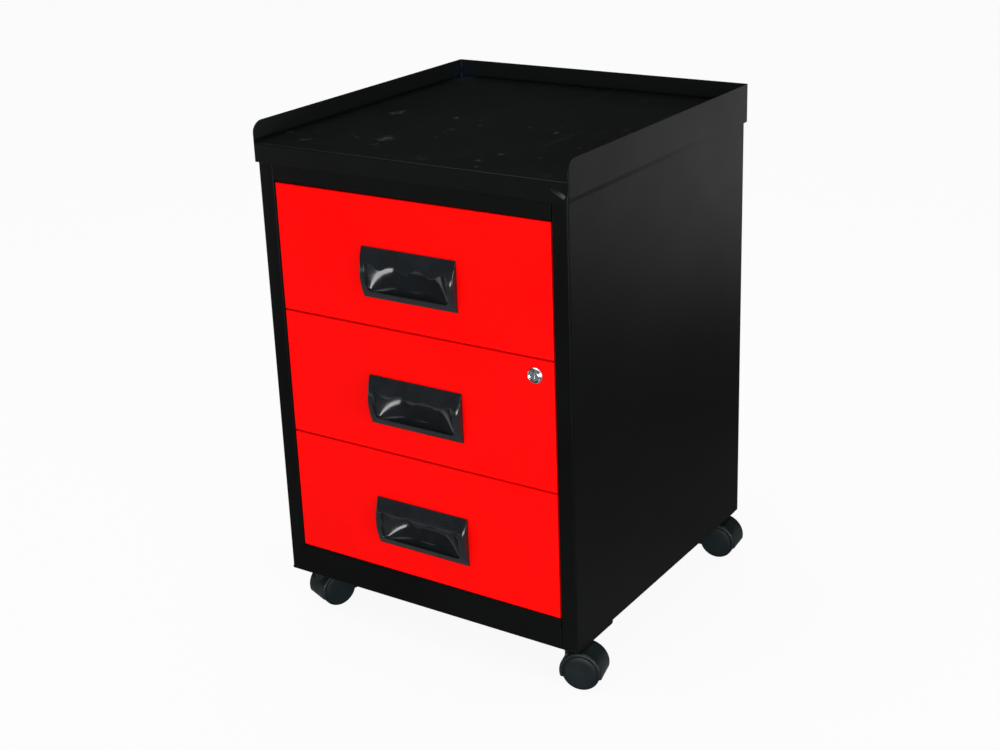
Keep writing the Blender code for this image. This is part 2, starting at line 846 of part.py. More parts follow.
def drawer_handle():
    """A moulded cup handle: a bowed face with round ends, a wavy lip, and a finger scoop behind it."""
    half_width, half_height = HANDLE_WIDTH / 2, HANDLE_HEIGHT / 2
    face = [(-GAP, -half_height), *bowed_front(HANDLE_PROUD, half_height), (-GAP, half_height)]
    handle = solid("drawer_handle_1", prism(face, "X", -half_width, half_width), handle_plastic())
    combine(handle, prism(handle_plan(), "Z", -HANDLE_HEIGHT, HANDLE_HEIGHT), "INTERSECT")
    cup = rounded_rectangle(CUP_WIDTH / 2, CUP_HEIGHT / 2, CUP_CORNER_RADIUS)
    join(handle, prism(cup, "Y", -HANDLE_EDGE, CUP_DEPTH))
    hood_back = -HANDLE_PROUD + HOOD_SHELL
    cut(handle, prism(wavy_mouth(), "Y", -HANDLE_PROUD - OVERRUN, hood_back + GAP))
    cut(handle, scoop())
    return handle


def handles(frames):
    """The same handle on each drawer."""
    first = drawer_handle()
    for number, frame in frames.items():
        piece = first if number == 1 else copy_of(first, f"drawer_handle_{number}")
        place(piece, frame, (0.0, FRONT_RECESS, HANDLE_LEVEL), smooth=True)


def lock_barrel(frame, spot):
    """The chrome housing, with its face flange on the drawer front."""
    bore = PLUG_RADIUS + PLUG_CLEARANCE
    profile = [
        (bore, BARREL_LENGTH),
        (BARREL_RADIUS, BARREL_LENGTH),
        (BARREL_RADIUS, -GAP),
        (LOCK_FACE_RADIUS, -GAP),
        (LOCK_FACE_RADIUS, -LOCK_FACE_PROUD + LOCK_FACE_CHAMFER),
        (LOCK_FACE_RADIUS - LOCK_FACE_CHAMFER, -LOCK_FACE_PROUD),
        (bore, -LOCK_FACE_PROUD),
    ]
    return place(
        solid("lock_barrel", turned(profile, LOCK_SEGMENTS, closed=True), chrome()),
        frame,
        spot,
        smooth=True,
    )


def lock_plug(frame, spot):
    """The turning plug, with its key slot and the tail that drives the cam."""
    face = -LOCK_FACE_PROUD + GAP
    tail_end = BARREL_LENGTH + 2 * GAP + CAM_THICKNESS
    profile = [
        (0.0, tail_end),
        (PLUG_TAIL_RADIUS, tail_end),
        (PLUG_TAIL_RADIUS, BARREL_LENGTH),
        (PLUG_RADIUS, BARREL_LENGTH),
        (PLUG_RADIUS, face),
        (0.0, face),
    ]
    plug = solid("lock_plug", turned(profile, LOCK_SEGMENTS), chrome())
    cut(
        plug,
        block(
            (-KEY_SLOT_WIDTH / 2, -LOCK_FACE_PROUD - OVERRUN, -KEY_SLOT_HEIGHT / 2),
            (KEY_SLOT_WIDTH / 2, -LOCK_FACE_PROUD + KEY_SLOT_DEPTH, KEY_SLOT_HEIGHT / 2),
        ),
    )
    return place(plug, frame, spot, smooth=True)


def lock_cam(frame, spot):
    """The tongue on the plug's tail, hanging down while the drawer is free."""
    tip = -CAM_REACH + CAM_RADIUS
    outline = arc((0.0, 0.0), CAM_RADIUS, 0, 180, 2 * ROUND_STEPS) + [
        (-CAM_RADIUS, tip),
        (-CAM_TIP_WIDTH / 2, tip - CAM_RADIUS),
        (CAM_TIP_WIDTH / 2, tip - CAM_RADIUS),
        (CAM_RADIUS, tip),
    ]
    start = BARREL_LENGTH + GAP
    cam = solid("lock_cam", prism(outline, "Y", start, start + CAM_THICKNESS), zinc_plate())
    bore = PLUG_TAIL_RADIUS + PLUG_CLEARANCE
    cut(cam, rod(bore, LOCK_SEGMENTS, "Y", (0.0, 0.0), 0.0, start + OVERRUN))
    return place(cam, frame, spot)


def lock(frame):
    """The cam lock near the drawer's right upper corner."""
    spot = (LOCK_ACROSS, FRONT_RECESS, LOCK_LEVEL)
    lock_barrel(frame, spot)
    lock_plug(frame, spot)
    lock_cam(frame, spot)


def drawers(cabinet_frame):
    """Three drawers, each on its own frame at its front's lower edge."""
    frames = {}
    for index in range(DRAWER_COUNT):
        number = index + 1
        level = drawer_level(index)
        frame = frame_at(f"drawer_{number}", cabinet_frame, (0.0, 0.0, level))
        drawer_front(number, index == LOCKED_INDEX, frame)
        drawer_box(number, frame)
        slides(number, cabinet_frame, frame, level)
        frames[number] = frame
    handles(frames)
    lock(frames[LOCKED_INDEX + 1])


def caster_plate(name, frame, spot):
    """The plate that screws to the channel, with its pintle."""
    half = PLATE_SIZE / 2
    low = CASTER_HEIGHT - PLATE_THICKNESS
    outline = rounded_rectangle(half, half, PLATE_CORNER_RADIUS, PLATE_CORNER_STEPS)
    plate = solid(name, prism(outline, "Z", low, CASTER_HEIGHT), zinc_plate())
    join(
        plate,
        rod(
            PINTLE_RADIUS,
            COLLAR_SEGMENTS,
            "Z",
            (0.0, 0.0),
            low - PINTLE_LENGTH,
            low + PLATE_THICKNESS / 2,
        ),
    )
    return place(plate, frame, spot)


def hood_end(depth, side):
    """What is cut from under one end of the hood, up to a depth below the axle."""
    reach = HOOD_HALF_WIDTH + OVERRUN
    end = TRAIL_LENGTH + side * (HOOD_RADIUS + OVERRUN)
    low = (min(TRAIL_LENGTH, end), -reach, -OVERRUN)
    high = (max(TRAIL_LENGTH, end), reach, WHEEL_RADIUS - depth)
    return block(low, high)


def caster_hood():
    """Fender over both wheels, with a web between them that takes the pintle and the axle."""
    axle = (TRAIL_LENGTH, WHEEL_RADIUS)
    hood = solid(
        "caster_front_right_hood",
        rod(HOOD_RADIUS, HOOD_SEGMENTS, "Y", axle, -HOOD_HALF_WIDTH, HOOD_HALF_WIDTH),
        caster_plastic(),
    )
    collar_top = CASTER_HEIGHT - PLATE_THICKNESS - GAP
    join(hood, rod(COLLAR_RADIUS, COLLAR_SEGMENTS, "Z", (0.0, 0.0), WHEEL_RADIUS, collar_top))
    cut(hood, hood_end(HOOD_FRONT_DEPTH, -1))
    cut(hood, hood_end(HOOD_REAR_DEPTH, 1))
    join(hood, rod(EYE_RADIUS, COLLAR_SEGMENTS, "Y", axle, -WEB_HALF_WIDTH, WEB_HALF_WIDTH))
    for side in (-1, 1):
        inner, outer = side * WEB_HALF_WIDTH, side * (HOOD_HALF_WIDTH + OVERRUN)
        cut(hood, rod(HOOD_BORE, HOOD_SEGMENTS, "Y", axle, min(inner, outer), max(inner, outer)))
    pintle_end = CASTER_HEIGHT - PLATE_THICKNESS - PINTLE_LENGTH - GAP
    bore = PINTLE_RADIUS + SHAFT_CLEARANCE
    cut(hood, rod(bore, COLLAR_SEGMENTS, "Z", (0.0, 0.0), pintle_end, CASTER_HEIGHT))
    hole = WEB_HALF_WIDTH + OVERRUN
    cut(hood, rod(AXLE_RADIUS + SHAFT_CLEARANCE, AXLE_SEGMENTS, "Y", axle, -hole, hole))
    return hood


def caster_wheel():
    """One wheel, its inner face at the origin and its domed face to the front."""
    bore = AXLE_RADIUS + SHAFT_CLEARANCE
    depth = WHEEL_WIDTH * HUB_BORE_SHARE
    rim = WHEEL_RADIUS - 2 * WHEEL_CHAMFER
    profile = [
        (0.0, -depth),
        (bore, -depth),
        (bore, 0.0),
        (WHEEL_RADIUS - WHEEL_CHAMFER, 0.0),
        (WHEEL_RADIUS, -WHEEL_CHAMFER),
        (WHEEL_RADIUS, -WHEEL_WIDTH + WHEEL_CHAMFER),
        (rim, -WHEEL_WIDTH),
        *((rim * out, -WHEEL_WIDTH - WHEEL_DOME * rise) for out, rise in WHEEL_DOME_SHARES),
        (0.0, -WHEEL_WIDTH - WHEEL_DOME),
    ]
    return solid("caster_front_right_wheel_a", turned(profile, WHEEL_SEGMENTS), caster_plastic())


def caster_axle():
    """The pin that both wheels turn on."""
    half = WHEEL_INNER + WHEEL_WIDTH * HUB_BORE_SHARE - GAP
    return solid(
        "caster_front_right_axle",
        rod(AXLE_RADIUS, AXLE_SEGMENTS, "Y", (0.0, 0.0), -half, half),
        zinc_plate(),
    )


def casters(root):
    """Four casters: the plate stays with the cabinet, and the hood swivels with its axle and wheels."""
    hood, wheel, axle = caster_hood(), caster_wheel(), caster_axle()
    for corner, (side_inset, end_inset) in CASTER_INSETS.items():
        name = f"caster_{corner}"
        across = HALF_WIDTH - side_inset
        spot = (
            across if corner.endswith("right") else -across,
            end_inset if corner.startswith("front") else BODY_DEPTH - end_inset,
            0.0,
        )
        caster_plate(f"{name}_plate", root, spot)
        swivel = frame_at(name, root, spot, radians(CASTER_TURNS[corner]))
        first = corner == "front_right"
        axle_spot = (TRAIL_LENGTH, 0.0, WHEEL_RADIUS)
        place(hood if first else copy_of(hood, f"{name}_hood"), swivel, smooth=True)
        place(axle if first else copy_of(axle, f"{name}_axle"), swivel, axle_spot, smooth=True)
        near = wheel if first else copy_of(wheel, f"{name}_wheel_a")
        place(near, swivel, (TRAIL_LENGTH, -WHEEL_INNER, WHEEL_RADIUS), smooth=True)
        far = copy_of(wheel, f"{name}_wheel_b")
        place(far, swivel, (TRAIL_LENGTH, WHEEL_INNER, WHEEL_RADIUS), pi, smooth=True)


def centre_on_origin(root):
    """Moves the cart so that the origin is under the middle of its bounding box."""
    bpy.context.view_layer.update()
    corners = [
        piece.matrix_world @ vert.co
        for piece in bpy.context.scene.objects
        if piece.type == "MESH"
        for vert in piece.data.vertices
    ]
    for axis in (0, 1):
        values = [corner[axis] for corner in corners]
        root.location[axis] -= (min(values) + max(values)) / 2


def main():
    for old in list(bpy.data.objects):
        bpy.data.objects.remove(old)
    root = frame_at("cart", None, (0.0, 0.0, 0.0))
    cabinet_frame = frame_at("cabinet", root, (0.0, 0.0, BODY_BASE))
    cabinet(cabinet_frame)
    drawers(cabinet_frame)
    casters(root)
    centre_on_origin(root)


main()
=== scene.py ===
"""The looks of a mobile drawer cart: its finishes, and the fine shapes around its frame.

Everything is in metres and in the frame's own space: +Z up, the front towards -Y and the floor at
z = 0.
"""

import json
import logging
from dataclasses import dataclass
from enum import Enum
from math import atan2, ceil, cos, hypot, pi, radians, sin, sqrt, tau
from random import Random

import bmesh
import bpy
from bmesh.types import BMEdge, BMesh, BMFace, BMVert
from bpy.types import Material, Node, NodeSocket, NodeTree, Object
from mathutils import Matrix, Vector

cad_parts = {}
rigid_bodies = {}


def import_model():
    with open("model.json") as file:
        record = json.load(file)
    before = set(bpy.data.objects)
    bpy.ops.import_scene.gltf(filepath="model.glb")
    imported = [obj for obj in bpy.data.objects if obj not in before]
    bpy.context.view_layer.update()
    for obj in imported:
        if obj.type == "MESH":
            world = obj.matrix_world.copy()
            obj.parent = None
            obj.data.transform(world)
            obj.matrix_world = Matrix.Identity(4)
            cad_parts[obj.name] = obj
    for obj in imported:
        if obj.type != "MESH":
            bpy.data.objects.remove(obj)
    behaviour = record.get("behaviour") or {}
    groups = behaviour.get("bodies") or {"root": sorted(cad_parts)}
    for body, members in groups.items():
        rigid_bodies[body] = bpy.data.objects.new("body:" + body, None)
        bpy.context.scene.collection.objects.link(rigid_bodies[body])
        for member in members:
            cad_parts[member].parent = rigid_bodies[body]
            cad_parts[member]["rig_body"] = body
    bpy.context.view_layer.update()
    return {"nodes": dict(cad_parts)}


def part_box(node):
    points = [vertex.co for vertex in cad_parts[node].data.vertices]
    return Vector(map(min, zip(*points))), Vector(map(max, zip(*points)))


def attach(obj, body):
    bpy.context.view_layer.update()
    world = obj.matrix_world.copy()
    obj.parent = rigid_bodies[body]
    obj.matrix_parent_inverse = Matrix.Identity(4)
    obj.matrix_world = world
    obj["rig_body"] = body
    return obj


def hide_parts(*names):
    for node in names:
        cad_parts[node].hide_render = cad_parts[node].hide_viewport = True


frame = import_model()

Pair = tuple[float, float]
Triple = tuple[float, float, float]
Colour = tuple[float, float, float, float]
Pairs = tuple[Pair, ...]

LOG = logging.getLogger("drawer_cart")
MERGE_DISTANCE = 0.000002
FLAT_DEGREES = 0.6
MOULDED_DEGREES = 32.0
ROUND_STEPS = 4
FINE_DETAIL = 4.0
MIX_FIRST, MIX_SECOND = 6, 7  # The Mix node's colour sockets, by number
DRAWERS = (1, 2, 3)
CORNERS = ("front_left", "front_right", "rear_left", "rear_right")
TRAY_SHEET = 0.0015
# Where the painted weld reflections sit: in from the tray's rear corners and up from its floor.
REFLECTION_INSET, REFLECTION_RISE = 0.006, 0.004


class Slot(Enum):
    """The record's material slots."""

    BLACK = "black_paint"
    RED = "red_paint"
    HANDLE = "handle_plastic"
    CASTER = "caster_plastic"
    ZINC = "zinc_plate"
    CHROME = "chrome"


class Axis(Enum):
    """The directions that a shape is turned about or cut across."""

    Y = (0.0, 1.0, 0.0)
    Z = (0.0, 0.0, 1.0)


def add_node(
    tree: NodeTree, kind: str, sockets: dict | None = None, **settings: object
) -> Node:
    """Adds a node to a tree.

    Args:
        tree: The tree.
        kind: The node's type.
        sockets: Values or linked sockets for its inputs, by name or number.
        settings: Values for its own properties.

    Returns:
        The new node.
    """
    made = tree.nodes.new(kind)
    for key, value in settings.items():
        setattr(made, key, value)
    for key, value in (sockets or {}).items():
        if isinstance(value, NodeSocket):
            tree.links.new(value, made.inputs[key])
        else:
            made.inputs[key].default_value = value
    return made


class Graph:
    """The node tree of one finish, with the steps that its pattern is made of."""

    def __init__(self, name: str) -> None:
        """Starts a material with a Principled shader.

        Args:
            name: The material's name.
        """
        self.material: Material = bpy.data.materials.new(name)
        self.material.use_nodes = True
        self.tree: NodeTree = self.material.node_tree
        self.shader: Node = self.tree.nodes["Principled BSDF"]
        self.place: NodeSocket = self.node("ShaderNodeTexCoord").outputs["Object"]

    def node(self, kind: str, sockets: dict | None = None, **settings: object) -> Node:
        """Adds a node, in the way of add_node."""
        return add_node(self.tree, kind, sockets, **settings)

    def part(self, axis: str) -> NodeSocket:
        """One of the object's coordinates: X, Y or Z."""
        return self.node("ShaderNodeSeparateXYZ", {0: self.place}).outputs[axis]

    def along(self, way: Triple) -> NodeSocket:
        """How far a point lies along a direction.

        Args:
            way: The direction.

        Returns:
            The distance, for a direction of length 1.
        """
        sockets = {0: self.place, 1: way}
        made = self.node("ShaderNodeVectorMath", sockets, operation="DOT_PRODUCT")
        return made.outputs["Value"]

    def feed(self, name: str, value: NodeSocket | float | tuple) -> None:
        """Links or sets one of the shader's sockets.

        Args:
            name: The socket's name.
            value: What it takes.
        """
        if isinstance(value, NodeSocket):
            self.tree.links.new(value, self.shader.inputs[name])
        else:
            self.shader.inputs[name].default_value = value

    def surface(self, shader: NodeSocket) -> None:
        """Makes a shader the material's surface."""
        self.tree.links.new(shader, self.tree.nodes["Material Output"].inputs["Surface"])

    def noise(
        self, size: float, detail: float = 3.0, place: NodeSocket | None = None
    ) -> NodeSocket:
        """Cloudy noise.

        Args:
            size: The width of its largest patches, in metres.
            detail: How many finer layers lie on them.
            place: The coordinates, or None for the object's own.

        Returns:
            Its strength, about 0.5 on average.
        """
        sockets = {"Vector": place or self.place, "Scale": 1.0 / size, "Detail": detail}
        return self.node("ShaderNodeTexNoise", sockets).outputs["Fac"]

    def stretched(self, scale: Triple, turn: float = 0.0) -> NodeSocket:
        """The object's coordinates, scaled unevenly and turned about the vertical.

        Args:
            scale: The factor on each axis.
            turn: The turn in degrees.

        Returns:
            The new coordinates.
        """
        sockets = {"Vector": self.place, "Scale": scale, "Rotation": (0.0, 0.0, radians(turn))}
        return self.node("ShaderNodeMapping", sockets).outputs["Vector"]

    def cells(self, size: float, place: NodeSocket | None = None) -> Node:
        """Scattered points, each in a cell of its own.

        Args:
            size: The distance between the points, in metres.
            place: The coordinates, or None for the object's own.

        Returns:
            The node, with the distance to the nearest point and that point's random colour.
        """
        sockets = {"Vector": place or self.place, "Scale": 1.0 / size}
        return self.node("ShaderNodeTexVoronoi", sockets)

    def fit(
        self,
        value: NodeSocket,
        low: float,
        high: float,
        to_low: float = 0.0,
        to_high: float = 1.0,
    ) -> NodeSocket:
        """Maps a range onto another, smoothly and without leaving it.

        Args:
            value: The input.
            low: The input that gives to_low.
            high: The input that gives to_high.
            to_low: The result at low.
            to_high: The result at high.

        Returns:
            The mapped value.
        """
        sockets = {
            "Value": value,
            "From Min": low,
            "From Max": high,
            "To Min": to_low,
            "To Max": to_high,
        }
        made = self.node("ShaderNodeMapRange", sockets, interpolation_type="SMOOTHSTEP")
        return made.outputs["Result"]

    def math(self, operation: str, first: NodeSocket, second: NodeSocket | float) -> NodeSocket:
        """One sum.

        Args:
            operation: The Math node's operation.
            first: The first value.
            second: The second value.

        Returns:
            The result.
        """
        made = self.node("ShaderNodeMath", {0: first, 1: second}, operation=operation)
        return made.outputs["Value"]

    def mix(
        self, share: NodeSocket, first: NodeSocket | tuple, second: NodeSocket | tuple
    ) -> NodeSocket:
        """Mixes two colours.

        Args:
            share: How much of the second colour there is.
            first: The first colour.
            second: The second colour.

        Returns:
            The mixed colour.
        """
        sockets = {"Factor": share, MIX_FIRST: first, MIX_SECOND: second}
        return self.node("ShaderNodeMix", sockets, data_type="RGBA").outputs[2]

    def attribute(self, name: str) -> NodeSocket:
        """Reads a value that the mesh carries.

        Args:
            name: The attribute's name.

        Returns:
            Its value, which is 0 where a mesh doesn't have it.
        """
        return self.node("ShaderNodeAttribute", attribute_name=name).outputs["Fac"]

    def near(self, spot: Triple, reach: float) -> NodeSocket:
        """A soft patch about a point.

        Args:
            spot: The patch's middle.
            reach: Its radius in metres.

        Returns:
            1 in the middle, falling to 0 at the radius.
        """
        sockets = {0: self.place, 1: spot}
        away = self.node("ShaderNodeVectorMath", sockets, operation="DISTANCE").outputs["Value"]
        return self.fit(away, 0.0, reach, 1.0, 0.0)

    def bump(self, height: NodeSocket, depth: float, under: NodeSocket | None = None) -> NodeSocket:
        """A relief in the surface.

        Args:
            height: The relief, from 0 to 1.
            depth: Its depth in metres.
            under: A relief that this one lies on.

        Returns:
            The shaded normal.
        """
        sockets = {"Height": height, "Distance": depth, "Strength": 1.0}
        if under:
            sockets["Normal"] = under
        return self.node("ShaderNodeBump", sockets).outputs["Normal"]


def rgb(red: float, green: float, blue: float) -> Colour:
    """A colour with its full opacity."""
    return (red, green, blue, 1.0)


@dataclass(frozen=True)
class Finish:
    """One finish: a node material, and the record's slot that it belongs to."""

    name: str
    slot: Slot
    gloss: float = 0.35
    gloss_spread: float = 0.05
    gloss_size: float = 0.02
    gloss_span: Pair = (0.25, 0.75)

    def material(self) -> Material:
        """The finish's material, made once.

        Returns:
            The material.
        """
        made = bpy.data.materials.get(self.name)
        if made is None:
            graph = Graph(self.name)
            self.dress(graph)
            made = graph.material
        return made

    def dress(self, graph: Graph) -> None:
        """Lays the finish's pattern on its shader.

        Args:
            graph: The material's node tree.
        """
        raise NotImplementedError

    def gloss_patches(self, graph: Graph) -> None:
        """Varies the roughness in soft patches.

        Args:
            graph: The material's node tree.
        """
        low, high = self.gloss - self.gloss_spread, self.gloss + self.gloss_spread
        patches = graph.fit(graph.noise(self.gloss_size, FINE_DETAIL), *self.gloss_span, low, high)
        graph.feed("Roughness", patches)


@dataclass(frozen=True)
class Paint(Finish):
    """Sprayed enamel on steel: a fine orange peel, cloudy gloss, and edges that are rubbed thin."""

    colour: Colour = rgb(0.0024, 0.0027, 0.0026)
    faded: Colour = rgb(0.0034, 0.0040, 0.0038)
    rubbed: Colour = rgb(0.050, 0.058, 0.058)
    gloss_spread: float = 0.025
    level: float = 0.08
    peel: float = 0.0016
    peel_depth: float = 0.00003
    wear: float = 0.35
    fade_size: float = 0.16
    fade_span: Pair = (0.35, 0.70)
    wear_size: float = 0.012
    wear_span: Pair = (0.42, 0.66)
    gloss_size: float = 0.075

    def dress(self, graph: Graph) -> None:
        """Lays the enamel, its orange peel and its rubbed edges.

        Args:
            graph: The material's node tree.
        """
        fading = graph.fit(graph.noise(self.fade_size), *self.fade_span)
        colour = self.marked(graph, graph.mix(fading, self.colour, self.faded))
        patches = graph.noise(self.wear_size, FINE_DETAIL)
        patchy = graph.fit(patches, *self.wear_span, 0.0, self.wear)
        rub = graph.math("MULTIPLY", graph.attribute("edge"), patchy)
        graph.feed("Base Color", graph.mix(rub, colour, self.rubbed))
        self.gloss_patches(graph)
        graph.feed("Specular IOR Level", self.level)
        graph.feed("Normal", graph.bump(graph.noise(self.peel, 2.0), self.peel_depth))

    def marked(self, graph: Graph, colour: NodeSocket) -> NodeSocket:
        """The colour with the marks of one place, which plain paint doesn't have."""
        return colour


@dataclass(frozen=True)
class TrayPaint(Paint):
    """The tray's enamel, with the dust and light scratches of a used top, painted light on its
    inner lips, and a painted reflection at each weld.
    """

    colour: Colour = rgb(0.0032, 0.0038, 0.0036)
    faded: Colour = rgb(0.0042, 0.0051, 0.0047)
    dust: Colour = rgb(0.036, 0.042, 0.040)
    specks: tuple[Triple, ...] = ((0.027, 0.52, 0.17), (0.013, 0.62, 0.20), (0.060, 0.52, 0.20))
    scratch: Colour = rgb(0.010, 0.012, 0.012)
    # weld_reflection: a bluish painted reflection on the inner walls round each rear weld
    weld_reflection: Colour = rgb(0.010, 0.020, 0.034)
    weld_reflection_reach: float = 0.035
    # lip: a lighter colour on the inner lip walls, a painted light in place of the light they would
    # catch
    lip: Colour = rgb(0.0105, 0.0120, 0.0115)
    lit_lip_rise: Pair = (0.002, 0.005)
    sheet_inner: Pair = (0.0009, 0.0004)
    floor_edge: Pair = (0.0030, 0.0015)
    floor_layer: Pair = (0.0010, 0.0020)
    speck_shape: Triple = (1.0, 0.8, 0.0)
    speck_turn: float = 27.0
    speck_core: float = 0.3
    speck_span: Pair = (0.20, 0.25)
    speck_step: float = 0.25
    speck_strength: float = 0.7
    ragged_size: float = 0.007
    ragged_share: float = 0.5
    scratches: Pairs = ((18.0, 0.012), (-38.0, 0.017), (64.0, 0.021))
    scratch_shape: Triple = (1.0, 0.06, 1.0)
    scratch_span: Pair = (0.70, 0.76)
    scratch_strength: float = 0.5
    floor: float = 0.577
    half_width: float = 0.2028
    back: float = 0.2052
    welds: tuple[Triple, ...] = ()

    def marked(self, graph: Graph, colour: NodeSocket) -> NodeSocket:
        """Lays dust specks and scratches on the tray's floor, painted light on its inner lip walls,
        and a painted reflection at each weld.

        Args:
            graph: The material's node tree.
            colour: The enamel's colour.

        Returns:
            The marked colour.
        """
        height, side = graph.part("Z"), graph.math("ABSOLUTE", graph.part("X"), 0.0)
        away = graph.math("ABSOLUTE", graph.math("SUBTRACT", height, self.floor), 0.0)
        inside = self.short_of(graph, side, self.half_width, self.floor_edge)
        lying = graph.fit(away, *self.floor_layer, 1.0, 0.0)
        lying = graph.math("MULTIPLY", lying, inside)
        # Painted light: the inner lip walls above the tray's floor are painted lighter than the
        # enamel.
        start, full = self.lit_lip_rise
        lit_lip_share = graph.fit(height, self.floor + start, self.floor + full)
        within = self.short_of(graph, side, self.half_width, self.sheet_inner)
        ahead = self.short_of(graph, graph.part("Y"), self.back, self.sheet_inner)
        inner = graph.math("MULTIPLY", within, ahead)
        colour = graph.mix(graph.math("MULTIPLY", lit_lip_share, inner), colour, self.lip)
        full, none = self.speck_span
        for size, share, radius in self.specks:
            points = graph.cells(size, graph.stretched(self.speck_shape, self.speck_turn)).outputs
            ragged = graph.math("MULTIPLY", graph.noise(self.ragged_size, 2.0), self.ragged_share)
            away = graph.math("ADD", points["Distance"], ragged)
            speck = graph.fit(away, radius + none, radius * self.speck_core + full)
            limit = share + self.speck_step
            kept = graph.fit(points["Color"], share, limit, 0.0, self.speck_strength)
            speck = graph.math("MULTIPLY", speck, graph.math("MULTIPLY", kept, lying))
            colour = graph.mix(speck, colour, self.dust)
        for turn, size in self.scratches:
            drawn = graph.noise(size, 1.0, graph.stretched(self.scratch_shape, turn))
            line = graph.fit(drawn, *self.scratch_span, 0.0, self.scratch_strength)
            colour = graph.mix(graph.math("MULTIPLY", line, lying), colour, self.scratch)
        # Painted reflection: a bluish patch of reflected light, painted round each rear weld.
        for weld in self.welds:
            patch = graph.near(weld, self.weld_reflection_reach)
            patch = graph.math("MULTIPLY", patch, graph.noise(self.wear_size))
            colour = graph.mix(graph.math("MULTIPLY", patch, inner), colour, self.weld_reflection)
        return colour

    def short_of(
        self, graph: Graph, value: NodeSocket, edge: float, margin: Pair
    ) -> NodeSocket:
        """Where a place lies short of an edge.

        Args:
            graph: The material's node tree.
            value: The place.
            edge: The edge.
            margin: How far short of it the result begins to fall, and how far it reaches 0.

        Returns:
            1 inside, falling to 0.
        """
        start, end = margin
        return graph.fit(value, edge - start, edge - end, 1.0, 0.0)


@dataclass(frozen=True)
class Plastic(Finish):
    """Moulded plastic, glossy or with a fine spark-eroded grain."""

    colour: Colour = rgb(0.010, 0.013, 0.015)
    faded: Colour = rgb(0.014, 0.018, 0.020)
    gloss: float = 0.20
    level: float = 0.35
    grain: float = 0.0009
    grain_depth: float = 0.00001
    scuff: float = 0.25
    scuff_size: float = 0.006
    scuff_span: Pair = (0.45, 0.70)
    scuff_lightening: float = 3.0
    fade_size: float = 0.02
    fade_span: Pair = (0.35, 0.65)
    gloss_size: float = 0.015
    gloss_span: Pair = (0.30, 0.70)

    def dress(self, graph: Graph) -> None:
        """Lays the plastic, its grain and its scuffed edges.

        Args:
            graph: The material's node tree.
        """
        cloud = graph.fit(graph.noise(self.fade_size, FINE_DETAIL), *self.fade_span)
        colour = graph.mix(cloud, self.colour, self.faded)
        scuffed = tuple(min(1.0, self.scuff_lightening * part) for part in self.faded)
        patches = graph.noise(self.scuff_size, FINE_DETAIL)
        patchy = graph.fit(patches, *self.scuff_span, 0.0, self.scuff)
        rub = graph.math("MULTIPLY", graph.attribute("edge"), patchy)
        graph.feed("Base Color", graph.mix(rub, colour, scuffed))
        self.gloss_patches(graph)
        graph.feed("Specular IOR Level", self.level)
        graph.feed("Normal", graph.bump(graph.noise(self.grain, 2.0), self.grain_depth))


@dataclass(frozen=True)
class Plating(Finish):
    """Plated steel: spangled zinc, polished chrome or oiled blackening."""

    colour: Colour = rgb(0.46, 0.47, 0.46)
    dull: Colour = rgb(0.34, 0.35, 0.34)
    gloss: float = 0.34
    gloss_spread: float = 0.10
    spangle: float = 0.004
    spangle_depth: float = 0.00001
    drawn: Triple = (1.0, 1.0, 1.0)
    spangle_span: Pair = (0.1, 0.9)
    spangle_share: float = 0.55
    cloud_size: float = 0.03
    cloud_span: Pair = (0.40, 0.70)
    gloss_size: float = 0.010
    gloss_span: Pair = (0.30, 0.70)

    def dress(self, graph: Graph) -> None:
        """Lays the metal, its spangle or drawing lines, and its dull patches.

        Args:
            graph: The material's node tree.
        """
        place = graph.stretched(self.drawn)
        tone = graph.cells(self.spangle, place).outputs["Color"]
        share = graph.fit(tone, *self.spangle_span, 0.0, self.spangle_share)
        cloud = graph.fit(graph.noise(self.cloud_size, FINE_DETAIL), *self.cloud_span)
        duller = graph.math("MAXIMUM", share, cloud)
        graph.feed("Base Color", graph.mix(duller, self.colour, self.dull))
        self.gloss_patches(graph)
        graph.feed("Metallic", 1.0)
        lines = graph.noise(self.spangle, 2.0, place)
        graph.feed("Normal", graph.bump(lines, self.spangle_depth))


TRAY_LOW, TRAY_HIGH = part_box("tray_top")
TRAY_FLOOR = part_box("side_panel_left")[1].z + TRAY_SHEET

BLACK_PAINT = Paint("cabinet_enamel", Slot.BLACK)
TRAY_PAINT = TrayPaint(
    "tray_enamel",
    Slot.BLACK,
    floor=TRAY_FLOOR,
    half_width=TRAY_HIGH.x,
    back=TRAY_HIGH.y,
    welds=tuple(
        (side, TRAY_HIGH.y - REFLECTION_INSET, TRAY_FLOOR + REFLECTION_RISE)
        for side in (TRAY_LOW.x + REFLECTION_INSET, TRAY_HIGH.x - REFLECTION_INSET)
    ),
)
